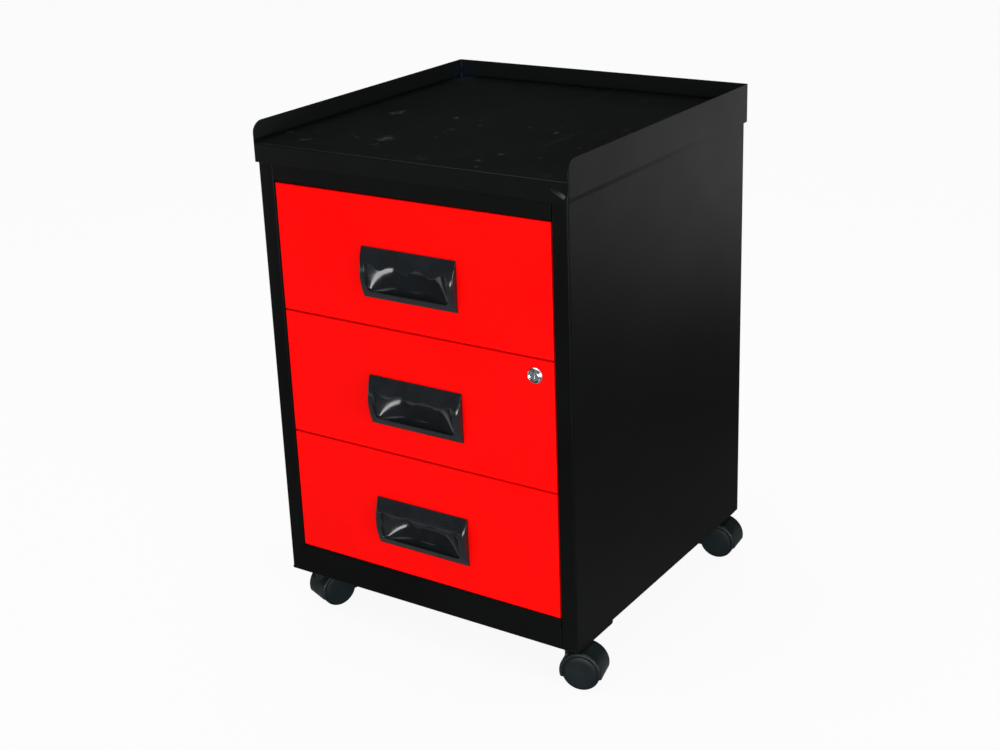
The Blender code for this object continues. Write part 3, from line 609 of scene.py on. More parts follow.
# The weld beads' light bluish colour is partly the ground weld's own tone and partly a painted
# highlight on the seams and the skirt spot.
WELD_HIGHLIGHT_PAINT = Paint(
    "weld_enamel_highlight",
    Slot.BLACK,
    rubbed=rgb(0.050, 0.066, 0.074),
    gloss=0.32,
    level=0.20,
    wear=0.9,
)
RED_PAINT = Paint(
    "drawer_enamel",
    Slot.RED,
    colour=rgb(0.90, 0.0008, 0.0005),
    faded=rgb(0.85, 0.0014, 0.0007),
    rubbed=rgb(0.95, 0.030, 0.020),
    gloss=0.40,
    level=0.04,
    wear=0.5,
)
HANDLE_PLASTIC = Plastic(
    "handle_gloss_plastic",
    Slot.HANDLE,
    colour=rgb(0.0100, 0.0120, 0.0135),
    faded=rgb(0.0130, 0.0155, 0.0175),
    gloss=0.12,
    gloss_spread=0.04,
    level=0.40,
)
HOOD_PLASTIC = Plastic(
    "caster_hood_plastic",
    Slot.CASTER,
    colour=rgb(0.0062, 0.0105, 0.0115),
    faded=rgb(0.0090, 0.0145, 0.0155),
    gloss=0.33,
    level=0.32,
    grain=0.0007,
    grain_depth=0.00003,
)
TREAD_PLASTIC = Plastic(
    "caster_tread_plastic",
    Slot.CASTER,
    colour=rgb(0.0046, 0.0095, 0.0115),
    faded=rgb(0.0072, 0.0125, 0.0140),
    gloss=0.42,
    level=0.22,
    grain=0.0012,
    grain_depth=0.00006,
    scuff=0.5,
)
ZINC = Plating("zinc_plating", Slot.ZINC)
SLIDE_ZINC = Plating(
    "slide_zinc_plating",
    Slot.ZINC,
    colour=rgb(0.50, 0.51, 0.51),
    dull=rgb(0.43, 0.44, 0.44),
    gloss_spread=0.05,
    drawn=(1.0, 0.05, 1.0),
    spangle=0.0015,
)
STEEL = Plating(
    "bearing_steel",
    Slot.ZINC,
    colour=rgb(0.55, 0.55, 0.56),
    dull=rgb(0.42, 0.42, 0.43),
    gloss=0.18,
    gloss_spread=0.06,
    spangle=0.001,
)
CHROME = Plating(
    "lock_chrome",
    Slot.CHROME,
    colour=rgb(0.86, 0.91, 0.96),
    dull=rgb(0.70, 0.75, 0.81),
    gloss=0.22,
    gloss_spread=0.05,
    spangle=0.0012,
    spangle_depth=0.000004,
)


def shown(name: str, shape: BMesh, material: Material) -> Object:
    """Puts a shape in the scene.

    Args:
        name: Its name.
        shape: Its mesh, which is freed.
        material: Its material.

    Returns:
        The piece.
    """
    mesh = bpy.data.meshes.new(name)
    shape.to_mesh(mesh)
    shape.free()
    mesh.materials.append(material)
    piece = bpy.data.objects.new(name, mesh)
    bpy.context.scene.collection.objects.link(piece)
    return piece


def body_of(node: str) -> str:
    """The CAD body that a node rides on."""
    return frame["nodes"][node]["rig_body"]


def verts_in(made: dict) -> list[BMVert]:
    """The vertices among what an operator has made."""
    return [part for part in made["geom"] if isinstance(part, BMVert)]


class Form:
    """A closed shape in the making, with the operators that its makers share."""

    def __init__(self, node: str = "") -> None:
        """Starts a shape whose faces can carry wear.

        Args:
            node: The CAD node that it starts from, with its loose triangles joined and its flat
                faces whole again. An empty shape has none.
        """
        self.mesh: BMesh = bmesh.new()
        if node:
            self.mesh.from_mesh(frame["nodes"][node].data)
            self.merge()
            bmesh.ops.dissolve_limit(
                self.mesh,
                angle_limit=radians(FLAT_DEGREES),
                verts=self.mesh.verts,
                edges=self.mesh.edges,
            )
        self.mesh.faces.layers.float.new("edge")

    def merge(self) -> None:
        """Joins the points that lie on each other."""
        bmesh.ops.remove_doubles(self.mesh, verts=self.mesh.verts, dist=MERGE_DISTANCE)

    def face_outwards(self) -> "Form":
        """Turns every face outwards."""
        bmesh.ops.recalc_face_normals(self.mesh, faces=self.mesh.faces)
        return self

    def thicken(self, faces: list[BMFace]) -> list[BMVert]:
        """Gives faces a copy that is joined to them along their rim.

        Args:
            faces: The faces.

        Returns:
            The copy's points.
        """
        return verts_in(bmesh.ops.extrude_face_region(self.mesh, geom=faces))

    def turned(self, profile: list[Pair], steps: int) -> "Form":
        """Turns a profile once round the vertical.

        Args:
            profile: Its points, each a radius and a height, from axis to axis or as a closed ring.
            steps: The faces round it.

        Returns:
            This form.
        """
        verts = [self.mesh.verts.new((radius, 0.0, height)) for radius, height in profile]
        pairs = list(zip(verts, verts[1:]))
        if profile[0][0] > 0.0:
            pairs.append((verts[-1], verts[0]))
        edges = [self.mesh.edges.new(pair) for pair in pairs]
        bmesh.ops.spin(
            self.mesh,
            geom=verts + edges,
            cent=(0.0, 0.0, 0.0),
            axis=Axis.Z.value,
            angle=tau,
            steps=steps,
            use_merge=True,
        )
        self.merge()
        return self.face_outwards()

    def swept(self, section: list[Pair], low: float, high: float, steps: int) -> "Form":
        """Turns a flat closed section part of the way round the Y axis.

        Args:
            section: Its points, each a radius and a place along Y.
            low: The angle in degrees at which it starts, above the +X direction.
            high: The angle at which it ends.
            steps: The faces along the way.

        Returns:
            This form.
        """
        start = Matrix.Rotation(-radians(low), 3, "Y")
        verts = [self.mesh.verts.new(start @ Vector((far, along, 0.0))) for far, along in section]
        face = self.mesh.faces.new(verts)
        bmesh.ops.spin(
            self.mesh,
            geom=[*verts, *face.edges, face],
            cent=(0.0, 0.0, 0.0),
            axis=Axis.Y.value,
            angle=-radians(high - low),
            steps=steps,
        )
        return self.face_outwards()

    def pulled(self, outline: list[Pair], low: float, high: float) -> "Form":
        """Pulls a flat outline up between two heights.

        Args:
            outline: Its points across.
            low: The height of its bottom.
            high: The height of its top.

        Returns:
            This form.
        """
        face = self.mesh.faces.new([self.mesh.verts.new((x, y, low)) for x, y in outline])
        raised = self.thicken([face])
        bmesh.ops.translate(self.mesh, verts=raised, vec=(0.0, 0.0, high - low))
        return self.face_outwards()

    def placed(self, place: Matrix) -> "Form":
        """Moves or turns the form.

        Args:
            place: The move.

        Returns:
            This form.
        """
        bmesh.ops.transform(self.mesh, matrix=place, verts=self.mesh.verts)
        return self

    def joined(self, *others: "Form") -> "Form":
        """Takes other forms in, and frees them.

        Args:
            others: The other forms.

        Returns:
            This form.
        """
        for other in others:
            carrier = bpy.data.meshes.new("carrier")
            other.mesh.to_mesh(carrier)
            other.mesh.free()
            self.mesh.from_mesh(carrier)
            bpy.data.meshes.remove(carrier)
        return self

    def rounded(self, edges: list[BMEdge], radius: float, segments: int) -> list[BMFace]:
        """Rounds edges.

        Args:
            edges: The edges.
            radius: The rounding's size.
            segments: The faces across each rounding.

        Returns:
            The faces of the roundings.
        """
        made = bmesh.ops.bevel(
            self.mesh,
            geom=edges,
            offset=radius,
            segments=segments,
            affect="EDGES",
            profile=0.5,
            material=-1,
            clamp_overlap=True,
        )
        return made["faces"]

    def softened(self, radius: float, degrees: float = 50.0, segments: int = 2) -> "Form":
        """Rounds every edge that turns by more than an angle, and marks the rounding for wear.

        Args:
            radius: The rounding's size.
            degrees: The angle.
            segments: The faces across each rounding.

        Returns:
            This form.
        """
        worn = self.mesh.faces.layers.float["edge"]
        sharp = [
            edge
            for edge in self.mesh.edges
            if edge.is_manifold and edge.calc_face_angle(0.0) > radians(degrees)
        ]
        for face in self.rounded(sharp, radius, segments):
            face[worn] = 1.0
        return self

    def finished(
        self,
        name: str,
        finish: Finish,
        body: str,
        replaces: tuple[str, ...] = (),
        smooth_degrees: float = 35.0,
    ) -> Object:
        """Turns the form into a dressed piece that rides on a body.

        Args:
            name: The piece's name.
            finish: Its finish.
            body: The CAD body that it moves with.
            replaces: The CAD nodes that it stands for.
            smooth_degrees: Edges that turn by less than this are shaded smooth.

        Returns:
            The piece.
        """
        piece = shown(name, self.mesh, finish.material())
        piece.data.shade_smooth()
        piece.data.set_sharp_from_angle(angle=radians(smooth_degrees))
        weighted = piece.modifiers.new("flat_faces_lead", "WEIGHTED_NORMAL")
        weighted.keep_sharp = True
        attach(piece, body)
        if replaces:
            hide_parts(*replaces)
        LOG.info("%s: %d faces, on %s", name, len(piece.data.polygons), body)
        return piece


def facing_front(spot: Triple) -> Matrix:
    """Lays a form down so that its top faces the front.

    Args:
        spot: Where its origin goes.

    Returns:
        The move.
    """
    return Matrix.Translation(spot) @ Matrix.Rotation(pi / 2, 4, "X")


def facing_side(spot: Triple, side: float) -> Matrix:
    """Lays a form down so that its top faces a side.

    Args:
        spot: Where its origin goes.
        side: 1 for the right and -1 for the left.

    Returns:
        The move.
    """
    return Matrix.Translation(spot) @ Matrix.Rotation(side * pi / 2, 4, "Y")


def on_disc(spot: Vector) -> Pair:
    """Where a point of a square from -1 to 1 goes when the square is rounded to a disc."""
    x, y = spot.x, spot.y
    return x * sqrt(1.0 - y * y / 2.0), y * sqrt(1.0 - x * x / 2.0)


def pan_screw(radius: float, height: float) -> Form:
    """A pan head with a cross recess, standing on z = 0.

    Args:
        radius: The head's radius.
        height: The head's height.

    Returns:
        The head.
    """
    squares, doming, arm_reach, arm_half, recess_depth = 10, 0.75, 0.6, 0.2, 0.55
    made = Form()
    bmesh.ops.create_grid(made.mesh, x_segments=squares, y_segments=squares, size=1.0)
    for vert in made.mesh.verts:
        across, up = on_disc(vert.co)
        dome = sqrt(1.0 - doming * min(1.0, across * across + up * up))
        vert.co = (radius * across, radius * up, height * dome)
    arms = []
    for face in made.mesh.faces:
        spot = face.calc_center_median() / radius
        near, far = sorted((abs(spot.x), abs(spot.y)))
        if far < arm_reach and near < arm_half:
            arms.append(face)
    for vert in made.thicken(list(made.mesh.faces)):
        vert.co.z = 0.0
    sunk = made.thicken(arms)
    bmesh.ops.translate(made.mesh, verts=sunk, vec=(0.0, 0.0, -recess_depth * height))
    return made.face_outwards()


def rivet(radius: float, height: float) -> Form:
    """A domed rivet head with a small dimple, standing on z = 0.

    Args:
        radius: The head's radius.
        height: The head's height.

    Returns:
        The head.
    """
    dome = [(0.0, 0.0), (1.0, 0.0), (0.97, 0.35), (0.75, 0.80), (0.42, 1.0)]
    dimple = [(0.34, 0.98), (0.28, 0.60), (0.0, 0.55)]
    profile = [(radius * across, height * up) for across, up in dome + dimple]
    return Form().turned(profile, steps=20)


def fall(inside: float, radius: float) -> float:
    """How far a round corner has fallen away.

    Args:
        inside: How far along the corner the place is, below 0 where it is before it.
        radius: The corner's radius.

    Returns:
        The fall, up to the radius.
    """
    along = min(max(inside, 0.0), radius)
    return radius - sqrt(radius * radius - along * along)


@dataclass
class SheetWork:
    """The folded sheets whose CAD shape is right: they get broken edges and a finish."""

    edge_radius: float = 0.00022
    smooth_degrees: float = 50.0
    lean: float = 0.0014
    lean_height: float = 0.0052
    sheet_reach: float = 0.0030
    side_facing: float = 0.9
    black: tuple[str, ...] = (
        "side_panel_left",
        "side_panel_right",
        "back_panel",
        "base_panel",
        "front_top_rail",
        "front_sill",
        "base_channel_rear",
        "rear_post_left",
        "rear_post_right",
        "tray_top",
        *(f"drawer_box_{drawer}" for drawer in DRAWERS),
    )
    red: tuple[str, ...] = tuple(f"drawer_front_{drawer}" for drawer in DRAWERS)

    def build(self) -> None:
        """Makes every folded sheet of the cabinet and the drawers."""
        for node in self.black:
            self.fold(node, TRAY_PAINT if node == "tray_top" else BLACK_PAINT)
        for node in self.red:
            self.fold(node, RED_PAINT)

    def fold(self, node: str, finish: Finish) -> None:
        """Makes one sheet from its CAD node.

        Args:
            node: The CAD node.
            finish: Its finish.
        """
        form = Form(node)
        if node == "tray_top":
            self.lean_skirt(form.mesh)
        form.softened(self.edge_radius)
        name, body = f"{node}_sheet", body_of(node)
        piece = form.finished(name, finish, body, (node,), self.smooth_degrees)
        if node == "tray_top":
            self.crease(piece)

    def lean_skirt(self, shape: BMesh) -> None:
        """Presses the lower edge of the tray's right skirt in at its front end.

        Args:
            shape: The tray's mesh.
        """
        side = [
            face
            for face in shape.faces
            if abs(face.normal.x) > self.side_facing
            and face.calc_center_median().x > TRAY_HIGH.x - self.sheet_reach
        ]
        parts = list(side)
        for face in side:
            parts += [*face.edges, *face.verts]
        bmesh.ops.bisect_plane(
            shape,
            geom=list(dict.fromkeys(parts)),
            dist=MERGE_DISTANCE,
            plane_co=(0.0, 0.0, TRAY_LOW.z + self.lean_height),
            plane_no=Axis.Z.value,
        )
        for vert in shape.verts:
            right = vert.co.x > TRAY_HIGH.x - self.sheet_reach
            front = vert.co.y < TRAY_LOW.y + self.sheet_reach
            if right and front and vert.co.z < TRAY_LOW.z + self.sheet_reach:
                vert.co.x -= self.lean

    def crease(self, piece: Object) -> None:
        """Keeps the line above the pressed edge sharp.

        Args:
            piece: The tray.
        """
        verts = piece.data.vertices
        for edge in piece.data.edges:
            ends = [verts[index].co for index in edge.vertices]
            heights = [abs(end.z - TRAY_LOW.z - self.lean_height) for end in ends]
            right = all(end.x > TRAY_HIGH.x - self.sheet_reach for end in ends)
            if right and max(heights) < self.edge_radius:
                edge.use_edge_sharp = True


@dataclass
class WeldBeads:
    """The tray's weld seams: one up each rear inner corner, and a spot on the skirt."""

    corner_radius: float = 0.0011
    corner_inset: float = 0.0013
    above_floor: float = 0.0002
    below_top: float = 0.0012
    spot_radius: float = 0.0026
    spot_start: Pair = (0.1855, 0.5683)
    spot_end: Pair = (0.1965, 0.5625)
    spread: Pair = (0.85, 1.1)
    seed: int = 7
    ripple: float = 0.55
    flatness: float = 0.35

    def build(self) -> None:
        """Makes the beads."""
        body = body_of("tray_top")
        top, floor = TRAY_HIGH.z - self.below_top, TRAY_FLOOR + self.above_floor
        back = TRAY_HIGH.y - self.corner_inset
        for name, side, way in (("left", TRAY_LOW.x, 1.0), ("right", TRAY_HIGH.x, -1.0)):
            inner = side + way * self.corner_inset
            ends = Vector((inner, back, floor)), Vector((inner, back, top))
            bead = self.bead(*ends, Vector((way, -1.0, 0.0)), self.corner_radius)
            bead.finished(f"tray_weld_{name}", WELD_HIGHLIGHT_PAINT, body)
        ends = [Vector((x, TRAY_LOW.y, z)) for x, z in (self.spot_start, self.spot_end)]
        spot = self.bead(*ends, Vector((0.0, -1.0, 0.0)), self.spot_radius)
        spot.finished("tray_weld_spot", WELD_HIGHLIGHT_PAINT, body)

    def bead(self, start: Vector, end: Vector, out: Vector, radius: float) -> Form:
        """A row of overlapping flat drops.

        Args:
            start: The first drop's middle.
            end: The last drop's middle.
            out: The way that the drops face.
            radius: A drop's radius.

        Returns:
            The bead.
        """
        count = ceil((end - start).length / (radius * self.ripple)) + 1
        face = out.to_track_quat("Z", "Y").to_matrix().to_4x4()
        chance = Random(self.seed)
        made = Form()
        for step in range(count):
            spot = start.lerp(end, step / (count - 1))
            size = radius * chance.uniform(*self.spread)
            drop = rivet(size, size * self.flatness)
            made.joined(drop.placed(Matrix.Translation(spot) @ face))
        # Every face of a bead takes the weld paint's light colour, partly a painted highlight.
        worn = made.mesh.faces.layers.float["edge"]
        for part in made.mesh.faces:
            part[worn] = 1.0
        return made


@dataclass
class CupHandle:
    """A moulded cup handle: a bowed plate whose wavy lip hangs over a boat-shaped scoop."""

    drawer: int
    half_width: float = 0.062
    half_height: float = 0.02875
    proud: float = 0.010
    rim: float = 0.0014
    seat: float = 0.0003
    end_round: float = 0.004
    end_share: float = 0.45
    mouth_half: float = 0.054
    mouth_corner: float = 0.006
    ledge: float = -0.0205
    lip: float = 0.0096
    lip_corner: float = 0.0035
    wave: float = 0.0033
    pitch: float = 0.034
    shell: float = 0.0036
    bands: tuple[int, int, int] = (4, 10, 8)
    middle_columns: int = 54
    mouth_bevel: float = 0.0010
    mouth_segments: int = 3
    outer_bevel: float = 0.0005
    scoop_half: float = 0.057
    scoop_level: float = 0.008
    scoop_below: float = 0.0290
    scoop_above: float = 0.013
    scoop_end: float = -0.0035
    scoop_depth: float = 0.0135
    scoop_sweep: float = 0.038
    scoop_foot: float = -0.0030
    scoop_head: float = -0.0010
    scoop_back: float = 0.0155
    scoop_rows: tuple[int, int] = (9, 6)
    scoop_columns: int = 48

    def build(self) -> None:
        """Makes the handle in its drawer front."""
        node = f"drawer_handle_{self.drawer}"
        low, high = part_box(node)
        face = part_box(f"drawer_front_{self.drawer}")[0].y
        place = Matrix.Translation((0.0, face, (low.z + high.z) / 2))
        made = self.plate().joined(self.scoop()).placed(place)
        name = f"cup_handle_{self.drawer}"
        made.finished(name, HANDLE_PLASTIC, body_of(node), (node,), MOULDED_DEGREES)

    def columns(self) -> list[float]:
        """The places across the plate at which its mesh has lines, closer where it rounds.

        Returns:
            The places, from left to right.
        """
        curve = [sin(step * pi / (2 * ROUND_STEPS)) for step in range(ROUND_STEPS + 1)]
        inner = self.mouth_half - self.mouth_corner
        outer = self.half_width - self.end_round
        right = [inner + self.mouth_corner * share for share in curve]
        right += [(self.mouth_half + outer) / 2]
        right += [outer + self.end_round * share for share in curve]
        half = self.middle_columns // 2
        middle = [inner * step / half for step in range(1 - half, half)]
        return [-place for place in reversed(right)] + middle + right

    def opening(self, across: float) -> Pair:
        """The heights of the ledge and the lip.

        Args:
            across: The place across the plate.

        Returns:
            The lower and the upper edge of the mouth.
        """
        inside = min(abs(across), self.mouth_half)
        ledge = self.ledge + fall(inside - self.mouth_half + self.mouth_corner, self.mouth_corner)
        lip = self.lip - self.wave * cos(tau * inside / self.pitch)
        return ledge, lip - fall(inside - self.mouth_half + self.lip_corner, self.lip_corner)

    def level(self, across: float, row: int) -> float:
        """The height of one of the mesh's rows.

        Args:
            across: The place across the plate.
            row: The row, from the bottom.

        Returns:
            The height.
        """
        stops = (-self.half_height, *self.opening(across), self.half_height)
        for count, low, high in zip(self.bands, stops, stops[1:]):
            if row <= count:
                return low + (high - low) * row / count
            row -= count
        return self.half_height

    def front(self, across: float, up: float) -> float:
        """Where the plate's front is.

        Args:
            across: The place across the plate.
            up: The height.

        Returns:
            The place along Y.
        """
        rise = fall(abs(across) - self.half_width + self.end_round, self.end_round)
        share = 1.0 - self.end_share * rise / self.end_round
        bow = 1.0 - (up / self.half_height) ** 2
        return -self.rim - (self.proud - self.rim) * bow * share

    def plate(self) -> Form:
        """The bowed plate with its mouth.

        Returns:
            The plate.
        """
        columns, rows = self.columns(), sum(self.bands)
        last = len(columns) - 1
        made = Form()
        bmesh.ops.create_grid(made.mesh, x_segments=last, y_segments=rows, size=0.5)
        for vert in made.mesh.verts:
            across = columns[round((vert.co.x + 0.5) * last)]
            up = self.level(across, round((vert.co.y + 0.5) * rows))
            vert.co = (across, self.front(across, up), up)
        mouth = []
        for face in made.mesh.faces:
            spot = face.calc_center_median()
            ledge, lip = self.opening(spot.x)
            if abs(spot.x) < self.mouth_half and ledge < spot.z < lip:
                mouth.append(face)
        bmesh.ops.delete(made.mesh, geom=mouth, context="FACES")
        high, wide = self.half_height - MERGE_DISTANCE, self.half_width - MERGE_DISTANCE
        brim = [
            edge
            for edge in made.mesh.edges
            if edge.is_boundary
            and all(abs(vert.co.z) < high and abs(vert.co.x) < wide for vert in edge.verts)
        ]
        open_half = self.mouth_half - MERGE_DISTANCE
        for vert in made.thicken(list(made.mesh.faces)):
            back = vert.co.y + self.shell if abs(vert.co.x) < open_half else 0.0
            vert.co.y = min(-self.seat, back)
        made.face_outwards().rounded(brim, self.mouth_bevel, self.mouth_segments)
        return made.softened(self.outer_bevel)

    def depth(self, across: float) -> float:
        """How deep the scoop is at a place across it."""
        share = min(1.0, max(0.0, self.mouth_half - abs(across)) / self.scoop_sweep)
        return self.scoop_end + (self.scoop_depth - self.scoop_end) * (1.0 - (1.0 - share) ** 2)

    def scoop(self) -> Form:
        """The boat-shaped scoop behind the mouth, with the wall that holds it.

        Returns:
            The scoop.
        """
        below, above = self.scoop_rows
        rows = below + above
        made = Form()
        bmesh.ops.create_grid(made.mesh, x_segments=self.scoop_columns, y_segments=rows, size=0.5)
        for vert in made.mesh.verts:
            across = 2.0 * self.scoop_half * vert.co.x
            row = round((vert.co.y + 0.5) * rows)
            deep = self.depth(across)
            if row <= below:
                turn = row / below * pi / 2
                up = self.scoop_level - self.scoop_below * cos(turn)
                inwards = self.scoop_foot + (deep - self.scoop_foot) * sin(turn)
            else:
                turn = (row - below) / above * pi / 2
                up = self.scoop_level + self.scoop_above * sin(turn)
                inwards = self.scoop_head + (deep - self.scoop_head) * cos(turn)
            vert.co = (across, inwards, up)
        for vert in made.thicken(list(made.mesh.faces)):
            vert.co.y = self.scoop_back
        return made.face_outwards()


@dataclass
class Caster:
    """A hooded twin-wheel caster, made round its pintle with its wheels trailing towards +X."""

    corner: str
    trail: float = 0.014
    axle_level: float = 0.0218
    wheel_radius: float = 0.0218
    wheel_inner: float = 0.0057
    tread_edge: float = 0.0160
    disc_radius: float = 0.0198
    disc_peak: float = 0.0180
    axle_radius: float = 0.0026
    wheel_steps: int = 64
    hood_radius: float = 0.0244
    hood_half: float = 0.0176
    hood_wall: float = 0.0013
    hood_corner: float = 0.0022
    flange_low: float = 0.0206
    hood_front: float = 0.007
    hood_rear: float = 0.005
    web_half: float = 0.0050
    eye_radius: float = 0.0075
    collar_radius: float = 0.0080
    collar_top: float = 0.0472
    collar_foot: float = 0.012
    collar_bore: float = 0.0036
    collar_round: Pairs = ((0.0, -0.0008), (-0.0004, -0.0002), (-0.0010, 0.0))
    bore_round: Pairs = ((0.0004, 0.0), (0.0, -0.0004))
    hub_recess: float = 0.0025
    hub_face: Pairs = ((0.0062, 0.0), (0.0066, 0.0008), (0.0160, 0.0008), (0.0165, 0.0))
    inner_round: Pairs = ((-0.0010, 0.0), (-0.0003, 0.0003), (0.0, 0.0010))
    grooves: tuple[float, ...] = (0.0086, 0.0110, 0.0134)
    groove: Pairs = ((0.0, -0.00035), (-0.0004, -0.00020), (-0.0004, 0.00020), (0.0, 0.00035))
    outer_round: Pairs = ((0.0, -0.0014), (-0.0003, -0.0006), (-0.0009, -0.0001), (-0.0015, 0.0))
    disc_ring: Pairs = ((0.0, 0.0), (-0.0002, -0.0004), (-0.0005, -0.0004), (-0.0008, 0.0003))
    disc_inset: float = 0.0012
    disc_rise: float = 0.0005
    disc_steps: int = 9
    hood_span: Pair = (-14.0, 198.0)
    hood_steps: int = 56
    hood_edge: float = 0.0004
    end_slack: float = 0.001
    web_start: float = -6.0
    web_turn: float = 196.0
    web_steps: int = 32
    eye_gap: float = 0.0001
    eye_short: float = 0.0003
    ring_edge: float = 0.0004
    ring_steps: int = 40
    plate_edge: float = 0.0003
    washer: Triple = (0.0042, 0.0075, 0.0003)
    washer_level: float = 0.00035
    screw: Pair = (0.0024, 0.0011)
    screw_spread: float = 0.0108
    screw_sink: float = 0.0022

    def build(self) -> None:
        """Makes the hood, the wheels and the plate of one caster."""
        stem = f"caster_{self.corner}"
        plate_low, plate_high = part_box(f"{stem}_plate")
        pintle = (plate_low + plate_high) / 2
        wheels = [sum(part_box(f"{stem}_wheel_{side}"), Vector()) / 2 for side in "ab"]
        axle = (wheels[0] + wheels[1]) / 2
        turn = atan2(axle.y - pintle.y, axle.x - pintle.x)
        place = Matrix.Translation((pintle.x, pintle.y, 0.0)) @ Matrix.Rotation(turn, 4, "Z")
        node = f"{stem}_hood"
        name, body = f"{stem}_cover", body_of(node)
        self.hood().placed(place).finished(name, HOOD_PLASTIC, body, (node,), MOULDED_DEGREES)
        hub = place @ Matrix.Translation((self.trail, 0.0, self.axle_level))
        for side, way in (("a", 1.0), ("b", -1.0)):
            node = f"{stem}_wheel_{side}"
            name, body = f"{stem}_twin_{side}", body_of(node)
            wheel = self.wheel().placed(hub @ Matrix.Rotation(way * pi / 2, 4, "X"))
            wheel.finished(name, TREAD_PLASTIC, body, (node,), MOULDED_DEGREES)
        self.seat(stem, place)

    def wheel(self) -> Form:
        """One wheel about the vertical, its disc up: grooved tread, ring groove, domed disc.

        Returns:
            The wheel.
        """
        rim, edge, inner = self.wheel_radius, self.tread_edge, self.wheel_inner
        profile = [(0.0, edge - self.hub_recess), (self.axle_radius, edge - self.hub_recess)]
        profile += [(self.axle_radius, inner)]
        profile += [(far, inner + up) for far, up in self.hub_face]
        profile += [(rim + far, inner + up) for far, up in self.inner_round]
        for middle in self.grooves:
            profile += [(rim + far, middle + up) for far, up in self.groove]
        profile += [(rim + far, edge + up) for far, up in self.outer_round]
        profile += [(self.disc_radius + far, edge + up) for far, up in self.disc_ring]
        for step in range(self.disc_steps + 1):
            share = 1.0 - step / self.disc_steps
            bulge = (self.disc_peak - edge - self.disc_rise) * sqrt(1.0 - share * share)
            radius = (self.disc_radius - self.disc_inset) * share
            profile.append((radius, edge + self.disc_rise + bulge))
        return Form().turned(profile, self.wheel_steps)

    def hood(self) -> Form:
        """The hood: a wrapped cover with flanges, a web with the axle's eye, and the collar.

        Returns:
            The hood, standing round its pintle.
        """
        upright = Matrix.Rotation(pi / 2, 4, "X")
        bore, half = self.axle_radius + self.eye_gap, self.wheel_inner - self.eye_short
        eye = self.ring(bore, self.eye_radius, half).placed(upright)
        whole = self.cover().joined(self.web().placed(upright), eye)
        whole.placed(Matrix.Translation((self.trail, 0.0, self.axle_level)))
        low, top, radius = self.axle_level + self.collar_foot, self.collar_top, self.collar_radius
        collar = [(self.collar_bore, low), (radius, low)]
        collar += [(radius + far, top + up) for far, up in self.collar_round]
        collar += [(self.collar_bore + far, top + up) for far, up in self.bore_round]
        return whole.joined(Form().turned(collar, self.ring_steps))

    def cover(self) -> Form:
        """The hood's cover, wrapped round the wheels and cut off level at both ends.

        Returns:
            The cover.
        """
        half, wall, corner = self.hood_half, self.hood_wall, self.hood_corner
        outer, inner = [], []
        for step in range(ROUND_STEPS + 1):
            turn = step / ROUND_STEPS * pi / 2
            far = self.hood_radius - corner + corner * sin(turn)
            out = half - corner + corner * cos(turn)
            outer.append((far, out))
            inner.append((far - wall * sin(turn), out - wall * cos(turn)))
        section = [(self.flange_low, half), *outer]
        section += [(far, -out) for far, out in reversed(outer)]
        section += [(self.flange_low, -half), (self.flange_low, wall - half)]
        section += [(far, -out) for far, out in inner]
        section += [*reversed(inner), (self.flange_low, half - wall)]
        rear, front = self.hood_span
        cover = Form().swept(section, rear, front, self.hood_steps)
        ends = ((rear % 360.0, 1.0, -self.hood_rear), (front, -1.0, -self.hood_front))
        for vert in cover.mesh.verts:
            far = hypot(vert.co.x, vert.co.z)
            angle = atan2(vert.co.z, vert.co.x) % tau
            for end, way, level in ends:
                if abs(angle - radians(end)) < self.end_slack:
                    vert.co = (way * sqrt(far * far - level * level), vert.co.y, level)
        return cover.softened(self.hood_edge)

    def web(self) -> Form:
        """The wall between the two wheels, lying flat.

        Returns:
            The wall.
        """
        radius = self.hood_radius - self.hood_wall / 2
        plan = [(0.0, 0.0)]
        for step in range(self.web_steps + 1):
            turn = radians(self.web_start + self.web_turn * step / self.web_steps)
            plan.append((radius * cos(turn), radius * sin(turn)))
        return Form().pulled(plan, -self.web_half, self.web_half)

    def ring(self, bore: float, radius: float, half: float) -> Form:
        """A plain ring about the vertical with broken edges.

        Args:
            bore: Its inner radius.
            radius: Its outer radius.
            half: Half its height.

        Returns:
            The ring.
        """
        broken = self.ring_edge
        profile = [(bore, half), (bore, -half), (radius - broken, -half)]
        profile += [(radius, broken - half), (radius, half - broken), (radius - broken, half)]
        return Form().turned(profile, self.ring_steps)

    def seat(self, stem: str, place: Matrix) -> None:
        """Makes the plate, its bearing ring and its screws.

        Args:
            stem: The start of the caster's node names.
            place: The pintle's place.
        """
        node = f"{stem}_plate"
        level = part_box(node)[1].z - self.screw_sink
        plate = Form(node).softened(self.plate_edge)
        plate.finished(f"{stem}_base", ZINC, body_of(node), (node,))
        spot = place.translation
        bearing = self.ring(*self.washer)
        bearing.placed(Matrix.Translation((spot.x, spot.y, self.collar_top + self.washer_level)))
        bearing.finished(f"{stem}_washer", STEEL, body_of(f"{stem}_hood"))
        screws = Form()
        for across in (-self.screw_spread, self.screw_spread):
            for along in (-self.screw_spread, self.screw_spread):
                under = Matrix.Translation((spot.x + across, spot.y + along, level))
                head = pan_screw(*self.screw).placed(Matrix.Rotation(pi, 4, "X"))
                screws.joined(head.placed(under))
        screws.finished(f"{stem}_screws", ZINC, body_of(node))


